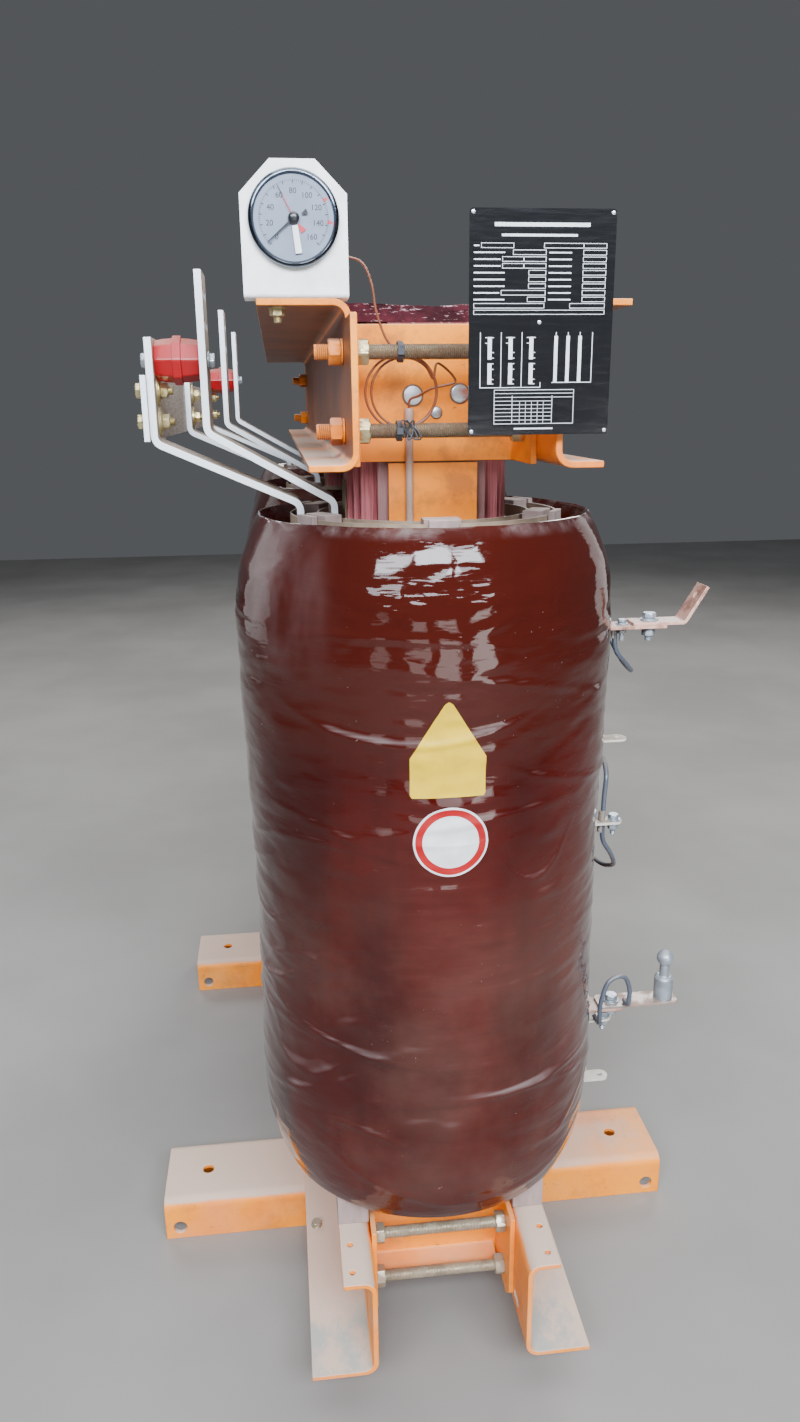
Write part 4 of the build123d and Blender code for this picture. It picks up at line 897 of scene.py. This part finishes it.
# Bolts of the high voltage terminals and tabs, and the lugs on the ends of the link cables. A row of
# the table: place along X, lower face and thickness, width of the bolt and of the washer, thread end, spin
TOP_UNDER, BOTTOM_UNDER, TAPS, TAB_THICK = 1.1935, 0.506, (0.862, 0.484), 0.004
terminal_bolts, lugs = [], []
for leg, row in LEGS.items():
    for x, low, thick, *sizes, spin in (
        (0.362, TOP_UNDER, 0.010, 0.012, 0.028, 0.008, row),
        (0.318, TOP_UNDER, 0.005, 0.008, 0.020, 0.012, row),
        (0.335, BOTTOM_UNDER, 0.010, 0.012, 0.028, 0.006, row + 1),
        *((0.321, tap - TAB_THICK / 2, TAB_THICK, 0.010, 0.024, 0.010, row + tap) for tap in TAPS),
    ):
        terminal_bolts += fastener((x, row, low + thick), (x, row, low), (0, 0, -1), *sizes, spin)
    for side in (-1, 1):
        if abs(row + side * 0.3) < PITCH:
            seat = (0.316, row + side * 0.001, TOP_UNDER - 0.002)
            lugs += crimp_lug(seat, (-0.6, side * 0.8, 0), (0, 0, -1))
    if leg != "far":
        lugs += crimp_lug((0.312, row - 0.001, TAPS[0] + 0.0022), (-0.9, -0.1, 0), (0, 0, 1))
    if leg != "middle":
        lugs += crimp_lug((0.312, row + 0.001, TAPS[0] - 0.0022), (-0.9, 0.1, 0), (0, 0, -1))
piece("terminal_bolts", terminal_bolts, PALE_ZINC)
piece("cable_lugs", lugs, TINNED)

# Studs on the wall of the near upper bracket: flat discs with a dark rim
wall_studs, stud_rims = [], []
for x, z, wide in ((-0.028, 1.5465, 0.0290), (0.036, 1.5485, 0.0275), (0.004, 1.524, 0.0168)):
    place = (x, WALL_FRONT, z)
    head = [(wide * 0.42, -0.001), (wide * 0.42, 0.0026), (wide * 0.36, 0.0032)]
    ring = [(wide * 0.5, -0.001), (wide * 0.5, 0.0010), (wide * 0.44, 0.0018)]
    wall_studs.append(turned(head, place, (0, -1, 0)))
    stud_rims.append(turned(ring, place, (0, -1, 0)))
piece("wall_studs", wall_studs, STUD_STEEL)
piece("wall_stud_rims", stud_rims, RIM)

# Small bolts under the left upper flange and on the left lower channel
seat, nut_seat, thread_seat = ((-0.205, -0.820, FLANGE_UNDER - down) for down in (0, 0.0022, 0.009))
flange_bolt = [washer(seat, (0, 0, -1), 0.022, 0.0022), hexagon(nut_seat, (0, 0, -1), 0.017, 0.008)]
flange_bolt.append(threaded(thread_seat, (0, 0, -1), 0.009, 0.010, 0.0015))
piece("flange_bolt", flange_bolt, ZINC)
seat, head_seat = ((-0.2024, -0.618, FOOT_BEND_TOP + up) for up in (0, 0.002))
foot_bolt = [washer(seat, (0, 0, 1), 0.020, 0.002), hexagon(head_seat, (0, 0, 1), 0.016, 0.007)]
piece("foot_bolt", foot_bolt, LOW_ROD_ZINC)

# Thermometer

DIAL_LEVEL = 0.0062
bezel = [(0.0425, 0.0), (0.0530, 0.0), (0.0532, 0.0020), (0.0530, 0.0060), (0.0522, 0.0084), (0.0510, 0.0090),
         (0.0502, 0.0082), (0.0498, 0.0082), (0.0492, 0.0098), (0.0484, 0.0100), (0.0478, 0.0090),
         (0.0470, 0.0080), (0.0466, 0.0060), (0.0466, 0.0054), (0.0425, 0.0052)]
case = [(0.0440, -0.048), (0.0456, -0.0465), (0.0460, -0.044), (0.0460, 0.0005), (0.0440, 0.0010)]
face = [(0.0300, 0.0040), (0.0460, 0.0040), (0.0464, 0.0059), (0.0460, DIAL_LEVEL), (0.0300, DIAL_LEVEL)]
for name, profile, around, finish, replaces in (
    ("gauge_body", case, 64, DIAL_BLACK, ["gauge_case"]),
    ("gauge_bezel", bezel, 96, BEZEL, ["gauge_case"]),
    ("gauge_face", face, 96, DIAL_FACE, []),
):
    body = turned(profile, (GAUGE_X, SHEET_FRONT, GAUGE_Z), (0, -1, 0), around)
    piece(name, [body], finish, replaces)


def dial_place(degrees, radius, out):
    """Place on the dial, with the angle clockwise from the top."""
    a = radians(degrees)
    return np.array((GAUGE_X + radius * sin(a), SHEET_FRONT - out, GAUGE_Z + radius * cos(a)))


def dial_bar(degrees, inside, outside, wide_in, wide_out, out=DIAL_LEVEL, thick=0.0003):
    """Flat tapered bar that lies on the dial along a radius."""
    a = radians(degrees)
    across = np.array((cos(a), 0, -sin(a)))
    rings = []
    for level in (out, out + thick):
        start, end = dial_place(degrees, inside, level), dial_place(degrees, outside, level)
        rings.append([start - across * wide_in / 2, start + across * wide_in / 2,
                      end + across * wide_out / 2, end - across * wide_out / 2])
    return rings_shell(rings)


DIAL_START, DIAL_SWEEP = -135, 270
LONG_MARK, SHORT_MARK, MARK_END, NUMERAL_RADIUS = 0.0365, 0.0385, 0.0405, 0.0285
marks = []
for k in range(81):
    inside, thick = (LONG_MARK, 0.0009) if k % 5 == 0 else (SHORT_MARK, 0.00045)
    marks.append(dial_bar(DIAL_START + k * DIAL_SWEEP / 80, inside, MARK_END, thick, thick))
piece("dial_marks", marks, DIAL_BLACK)
hub = [(0.0066, 0.0), (0.0066, 0.0016), (0.0060, 0.0036), (0.0042, 0.0050), (0.0018, 0.0056)]
piece("dial_pointer", [
    dial_bar(230, 0.0, 0.0400, 0.0026, 0.0012, 0.0090, 0.0004),
    dial_bar(66, 0.0100, 0.0170, 0.0010, 0.0060, 0.0090, 0.0004),
    dial_bar(-27, 0.0260, 0.0390, 0.0009, 0.0006, 0.0080, 0.0003),
    turned(hub, dial_place(0, 0, 0.0080), (0, -1, 0)),
], DIAL_BLACK)
piece("dial_limit", [
    dial_bar(-27, 0.0, 0.0260, 0.0009, 0.0009, 0.0080, 0.0003),
    dial_bar(142, 0.0080, 0.0180, 0.0010, 0.0070, 0.0072, 0.0003),
    dial_bar(62, 0.0395, 0.0450, 0.0050, 0.0008),
    dial_bar(96, 0.0395, 0.0450, 0.0050, 0.0008),
], DIAL_RED)
piece("dial_reset", [dial_bar(173, 0.0080, 0.0380, 0.0066, 0.0076, 0.0076, 0.0012)], DIAL_WHITE)


def numerals():
    """Plain numbers round the dial, from the built in font, flat on the face."""
    parts = []
    for k in range(9):
        text = bpy.data.curves.new("numeral", "FONT")
        text.body = str(k * 20)
        text.size = 0.0086
        text.align_x = "CENTER"
        text.align_y = "CENTER"
        text.extrude = 0.0001
        holder = in_scene("numeral", text)
        bpy.context.view_layer.update()
        shaped = holder.evaluated_get(bpy.context.evaluated_depsgraph_get())
        mesh = bpy.data.meshes.new_from_object(shaped)
        flat = np.zeros(len(mesh.vertices) * 3)
        mesh.vertices.foreach_get("co", flat)
        flat = flat.reshape(-1, 3)
        spot = dial_place(DIAL_START + k * DIAL_SWEEP / 8, NUMERAL_RADIUS, DIAL_LEVEL + 0.0001)
        points = np.stack([spot[0] + flat[:, 0], spot[1] - flat[:, 2], spot[2] + flat[:, 1]], axis=-1)
        parts.append((points, [list(p.vertices) for p in mesh.polygons]))
        bpy.data.objects.remove(holder)
        bpy.data.meshes.remove(mesh)
        bpy.data.curves.remove(text)
    return parts


piece("dial_numbers", numerals(), DIAL_BLACK)

# Rating plate: empty ruled boxes and lines, in millimetres from its lower left corner


def rule(x0, z0, x1, z1):
    """Thin raised line between two corners."""
    return box_bar((PLATE_LEFT + x0 / 1000, PLATE_FACE - 0.00015, PLATE_LOW + z0 / 1000),
                   (PLATE_LEFT + x1 / 1000, PLATE_FACE + 0.0001, PLATE_LOW + z1 / 1000))


def ruled_box(x0, z0, x1, z1, line=0.6):
    level = [rule(x0, z, x1, z + line) for z in (z0, z1 - line)]
    return level + [rule(x, z0 + line, x + line, z1 - line) for x in (x0, x1 - line)]


# Two headings, then rows of boxes in two columns: the left ones widen and narrow from row to row
ruled = [rule(28, 221.5, 136, 225.5), rule(36, 211.5, 122, 214)]
for k, left in enumerate((13, 49, 37, 37, 67, 67, 67, 36, 66)):
    low = 199.5 - k * 6.95
    ruled.append(rule(5, low + 1.8, min(left - 2, 40), low + 3.2))
    ruled += ruled_box(left, low, 87 if k else 50, low + 5.4)
    if k in (2, 3):
        ruled.append(rule(61, low, 62, low + 5.4))
    ruled += ruled_box(84 if k == 0 else 129, low, 156, low + 5.4)
    if k:
        ruled.append(rule(90, low + 1.8, 116, low + 3.2))
ruled.append(rule(129, 199.5, 129.8, 204.9))
ruled += ruled_box(5, 137.2, 86, 142.6) + ruled_box(115, 137.2, 156, 142.6) + ruled_box(5, 130.6, 156, 135.6)
# Winding diagrams: three divided blocks beside their lines, and three whole ones
for x in (13, 37, 61):
    ruled += [rule(x, 53, x + 0.8, 112), rule(x + 9, 83, x + 13.6, 107), rule(x + 9, 56, x + 13.6, 79)]
    ruled += [rule(x + 13.6, z, x + 16, z + 0.8) for z in (106, 90, 84, 78, 72, 61, 56)]
    ruled += [rule(x + 6, z, x + 9, z + 0.8) for z in (106, 100)]
ruled += [rule(13, 52, 84, 52.8), rule(83.2, 52.8, 84, 58)]
for x in (99, 113, 127):
    ruled += [rule(x, 58, x + 4, 108), rule(x + 1.6, 108, x + 2.4, 112)]
ruled += [rule(143, 58, 143.8, 112), rule(97, 57.2, 143.8, 58)]
# Table below them
ruled += ruled_box(30, 12, 124, 50)
ruled += [rule(30, 16.2 + k * 4.2, 98 if k < 6 else 124, 16.7 + k * 4.2) for k in range(8)]
ruled += [rule(51, 12, 51.6, 43.5), rule(98, 12, 98.6, 43.5)]
ruled += [rule(x, 12, x + 0.4, 37) for x in (60, 67, 74, 81, 88)]
ruled.append(rule(54, 6, 100, 7.6))
piece("plate_rules", ruled, ETCHED)
rivets = []
for x, z in ((0.004, 0.236), (0.162, 0.236), (0.004, 0.004), (0.162, 0.004), (0.081, 0.1225)):
    place = (PLATE_LEFT + x, PLATE_FACE, PLATE_LOW + z)
    rivets.append(turned([(0.0022, 0), (0.0021, 0.0005), (0.0012, 0.0008)], place, (0, -1, 0), 20))
piece("plate_rivets", rivets, STUD_STEEL)

# Sensor tube with a thicker head
outline = [(0.0050, 1.340), (0.0054, 1.3405), (0.0054, 1.505)]
outline += [(0.0064, 1.507), (0.0064, 1.526), (0.0054, 1.530)]
sheath = turned(outline, (SENSOR_X, SENSOR_Y, 0), (0, 0, 1))
piece("sensor_sheath", [sheath], SENSOR, ["sensor_tube"])

# Capillary: from the back of the case, round two loops behind the tie rods, a kink, and into the
# head of the sensor tube. The second loop is a little smaller, so that both show.
LOOP_X, LOOP_Y, LOOP_Z, LOOP_RADIUS = -0.050, -0.7752, 1.55075, 0.0465
wound = np.arange(35) / 34
loop_angle = radians(67.5) - radians(765) * wound
second = np.clip(wound * 2.125 - 0.7, 0, 1)
loop_radius = LOOP_RADIUS - 0.0042 * second
loops = np.stack([LOOP_X + 0.0040 * second + loop_radius * np.cos(loop_angle),
                  LOOP_Y + 0.0077 * wound,
                  LOOP_Z + loop_radius * np.sin(loop_angle)], axis=-1)
lead_in = [(-0.150, -0.7967, 1.712), (-0.150, -0.778, 1.712), (-0.122, -0.772, 1.712),
           (-0.098, -0.772, 1.705), (-0.086, -0.773, 1.680), (-0.080, -0.774, 1.645), (-0.064, -0.775, 1.609)]
lead_out = [(0.0004, -0.757, 1.5863), (0.0248, -0.752, 1.5639), (-0.0049, -0.750, 1.5554),
            (-0.022, -0.738, 1.546), (-0.0325, -0.727, 1.541), (SENSOR_X, SENSOR_Y, 1.5295)]
route = smooth_path([*lead_in, *loops, *lead_out])
piece("capillary_tube", [tube(route, 0.0032, 12)], CAPILLARY, ["capillary"], 60)

# Ties that hold it to the rods, and a wire knot round the sensor's head
TIE_RADIUS, KNOT_X, KNOT_Y, KNOT_Z = 0.0118, -0.041, -0.7995, 1.5035
ties = []
ring_angle = np.linspace(0, TURN, 41)
for x, z in zip((-0.0526, -0.0549), ROD_LEVELS["upper"]):
    ring = np.stack([x + 0.0006 * np.sin(3 * ring_angle), -ROD_Y + TIE_RADIUS * np.cos(ring_angle),
                     z + TIE_RADIUS * np.sin(ring_angle)], axis=-1)
    ties += [tube(ring + (shift, 0, 0), 0.0030, 8) for shift in (-0.0024, 0.0, 0.0024)]
    ties.append(box_bar((x - 0.004, -0.8025, z - 0.004), (x + 0.004, -0.7975, z + 0.004)))
for k in range(3):
    lean = 0.010 * (k - 1)
    twist = np.stack([KNOT_X + lean * np.sin(ring_angle) + 0.008 * np.cos(ring_angle + k),
                      KNOT_Y + 0.0035 * np.sin(2 * ring_angle + k),
                      KNOT_Z + 0.012 * np.sin(ring_angle)], axis=-1)
    ties.append(tube(twist, 0.0022, 8))
piece("capillary_ties", ties, TIE)

# Thick uneven paint on the top of the upper yoke: z = top + smooth noise over X and Y. Past the
# yoke's ends it hangs down in front of them.
CRUST_HALF, CRUST_SIDE = 0.7098, 0.1155
SKIRT_INNER, SKIRT_OUTER, SKIRT_DROP = 0.7104, 0.7128, 0.018
crust_x = np.linspace(-CRUST_SIDE, CRUST_SIDE, 80)[None]
crust_y = np.concatenate([(-SKIRT_OUTER, -SKIRT_INNER), np.linspace(-CRUST_HALF, CRUST_HALF, 298),
                          (SKIRT_INNER, SKIRT_OUTER)])[:, None]
share_x, share_y = crust_x * 4 + 0.47, crust_y * 0.7 + 0.5
rise = 0.0052 * blotches(share_x, share_y, 8, 40, 5) ** 1.5 + 0.0016 * blotches(share_x, share_y, 60, 300, 6)
crust = np.stack(np.broadcast_arrays(crust_x, crust_y, YOKE_TOP + 0.0004 + rise), axis=-1)
below = crust.copy()
below[..., 2] = YOKE_TOP - np.where(np.abs(crust_y) > CRUST_HALF, SKIRT_DROP, 0.0005)
shell = rings_shell(np.concatenate([crust, below[:, ::-1]], axis=1))
piece("yoke_top_crust", [shell], crust_paint(), (), 60)

# Floor, light and camera


def studio_floor():
    made = Finish("studio_floor", 0.7)
    tone = made.blend(made.patches(1.2, 4.0, 0.3, 0.7), paint(122, 120, 117), paint(134, 132, 129))
    mesh = bpy.data.meshes.new("floor")
    mesh.from_pydata([(-9, -9, 0), (9, -9, 0), (9, 9, 0), (-9, 9, 0)], [], [(0, 1, 2, 3)])
    mesh.materials.append(made.finished(tone, (made.noise(60.0, 4.0), 0.0006, 0.3)))
    floor = in_scene("floor", mesh)


def aimed(name, data, place, right, up, ahead):
    """Lamp or camera at a place, with its own right, up and ahead directions."""
    made = in_scene(name, data)
    made.matrix_world = Matrix([[right[k], up[k], -ahead[k], place[k]] for k in range(3)] + [[0, 0, 0, 1]])
    return made


def soft_light(name, place, aim, wide, tall, power, tint):
    """Rectangular soft light that faces a point."""
    data = bpy.data.lights.new(name, "AREA")
    data.shape = "RECTANGLE"
    data.size, data.size_y = wide, tall
    data.energy = power
    data.color = tint
    ahead = np.asarray(aim, dtype=float) - np.asarray(place, dtype=float)
    ahead /= np.linalg.norm(ahead)
    side = np.cross(ahead, (0, 0, 1))
    side /= np.linalg.norm(side)
    lamp = aimed(name, data, place, side, np.cross(side, ahead), ahead)
    lamp.visible_camera = False


def camera():
    """The place and aim that fit the photograph: yaw 6.532, pitch -16.823, roll -0.618 degrees."""
    yaw, pitch, roll = radians(6.532), radians(16.823), radians(-0.618)
    ahead = np.array((sin(yaw) * cos(pitch), cos(yaw) * cos(pitch), -sin(pitch)))
    level = np.array((cos(yaw), -sin(yaw), 0.0))
    up = np.cross(level, ahead)
    right, top = cos(roll) * level + sin(roll) * up, cos(roll) * up - sin(roll) * level
    data = bpy.data.cameras.new("view")
    data.lens = 25.69
    data.sensor_width = 36.0
    data.sensor_height = 36.0
    bpy.context.scene.camera = aimed("view", data, (-0.212382, -2.139433, 1.535487), right, top, ahead)


studio_floor()
camera()
world = bpy.data.worlds.new("studio")
world.use_nodes = True
world.node_tree.nodes["Background"].inputs["Color"].default_value = (0.62, 0.65, 0.70, 1)
world.node_tree.nodes["Background"].inputs["Strength"].default_value = 0.15
bpy.context.scene.world = world
# Bright openings high up, and narrow ones below them that stand apart, so that the castings mirror streaks
COOL, WARM, PLAIN = (0.86, 0.93, 1.0), (1.0, 0.98, 0.95), (0.98, 0.99, 1.0)
for name, across, wide, power in (
    ("left_sky", -2.05, 1.7, 220), ("middle_sky", -0.15, 1.7, 300), ("right_sky", 1.55, 1.4, 220),
):
    soft_light(name, (across, -4.5, 3.8), (0, -0.6, 1.0), wide, 1.4, power, COOL)
for name, across, wide, power in (
    ("first_low", -2.35, 0.5, 4), ("second_low", -0.65, 0.7, 9), ("third_low", 0.45, 0.6, 12),
    ("fourth_low", 1.8, 0.9, 26),
):
    soft_light(name, (across, -4.3, 0.66), (0, -0.6, 0.9), wide, 1.2, power, WARM)
soft_light("overhead", (0.2, -1.0, 4.6), (0, -0.3, 0.8), 3.4, 3.4, 180, PLAIN)
soft_light("left_side", (-3.6, 1.9, 1.6), (0, 0.1, 0.9), 2.2, 2.6, 15, (0.96, 0.98, 1.0))
soft_light("right_side", (3.6, 2.0, 1.6), (0, 0.3, 0.9), 1.6, 2.4, 12, (1.0, 0.99, 0.97))
soft_light("back_left", (-2.6, 4.4, 4.2), (0, 0.4, 0.8), 2.4, 1.8, 170, PLAIN)
soft_light("back_right", (2.8, 4.2, 4.2), (0, 0.4, 0.8), 2.4, 1.8, 200, (1.0, 0.99, 0.97))
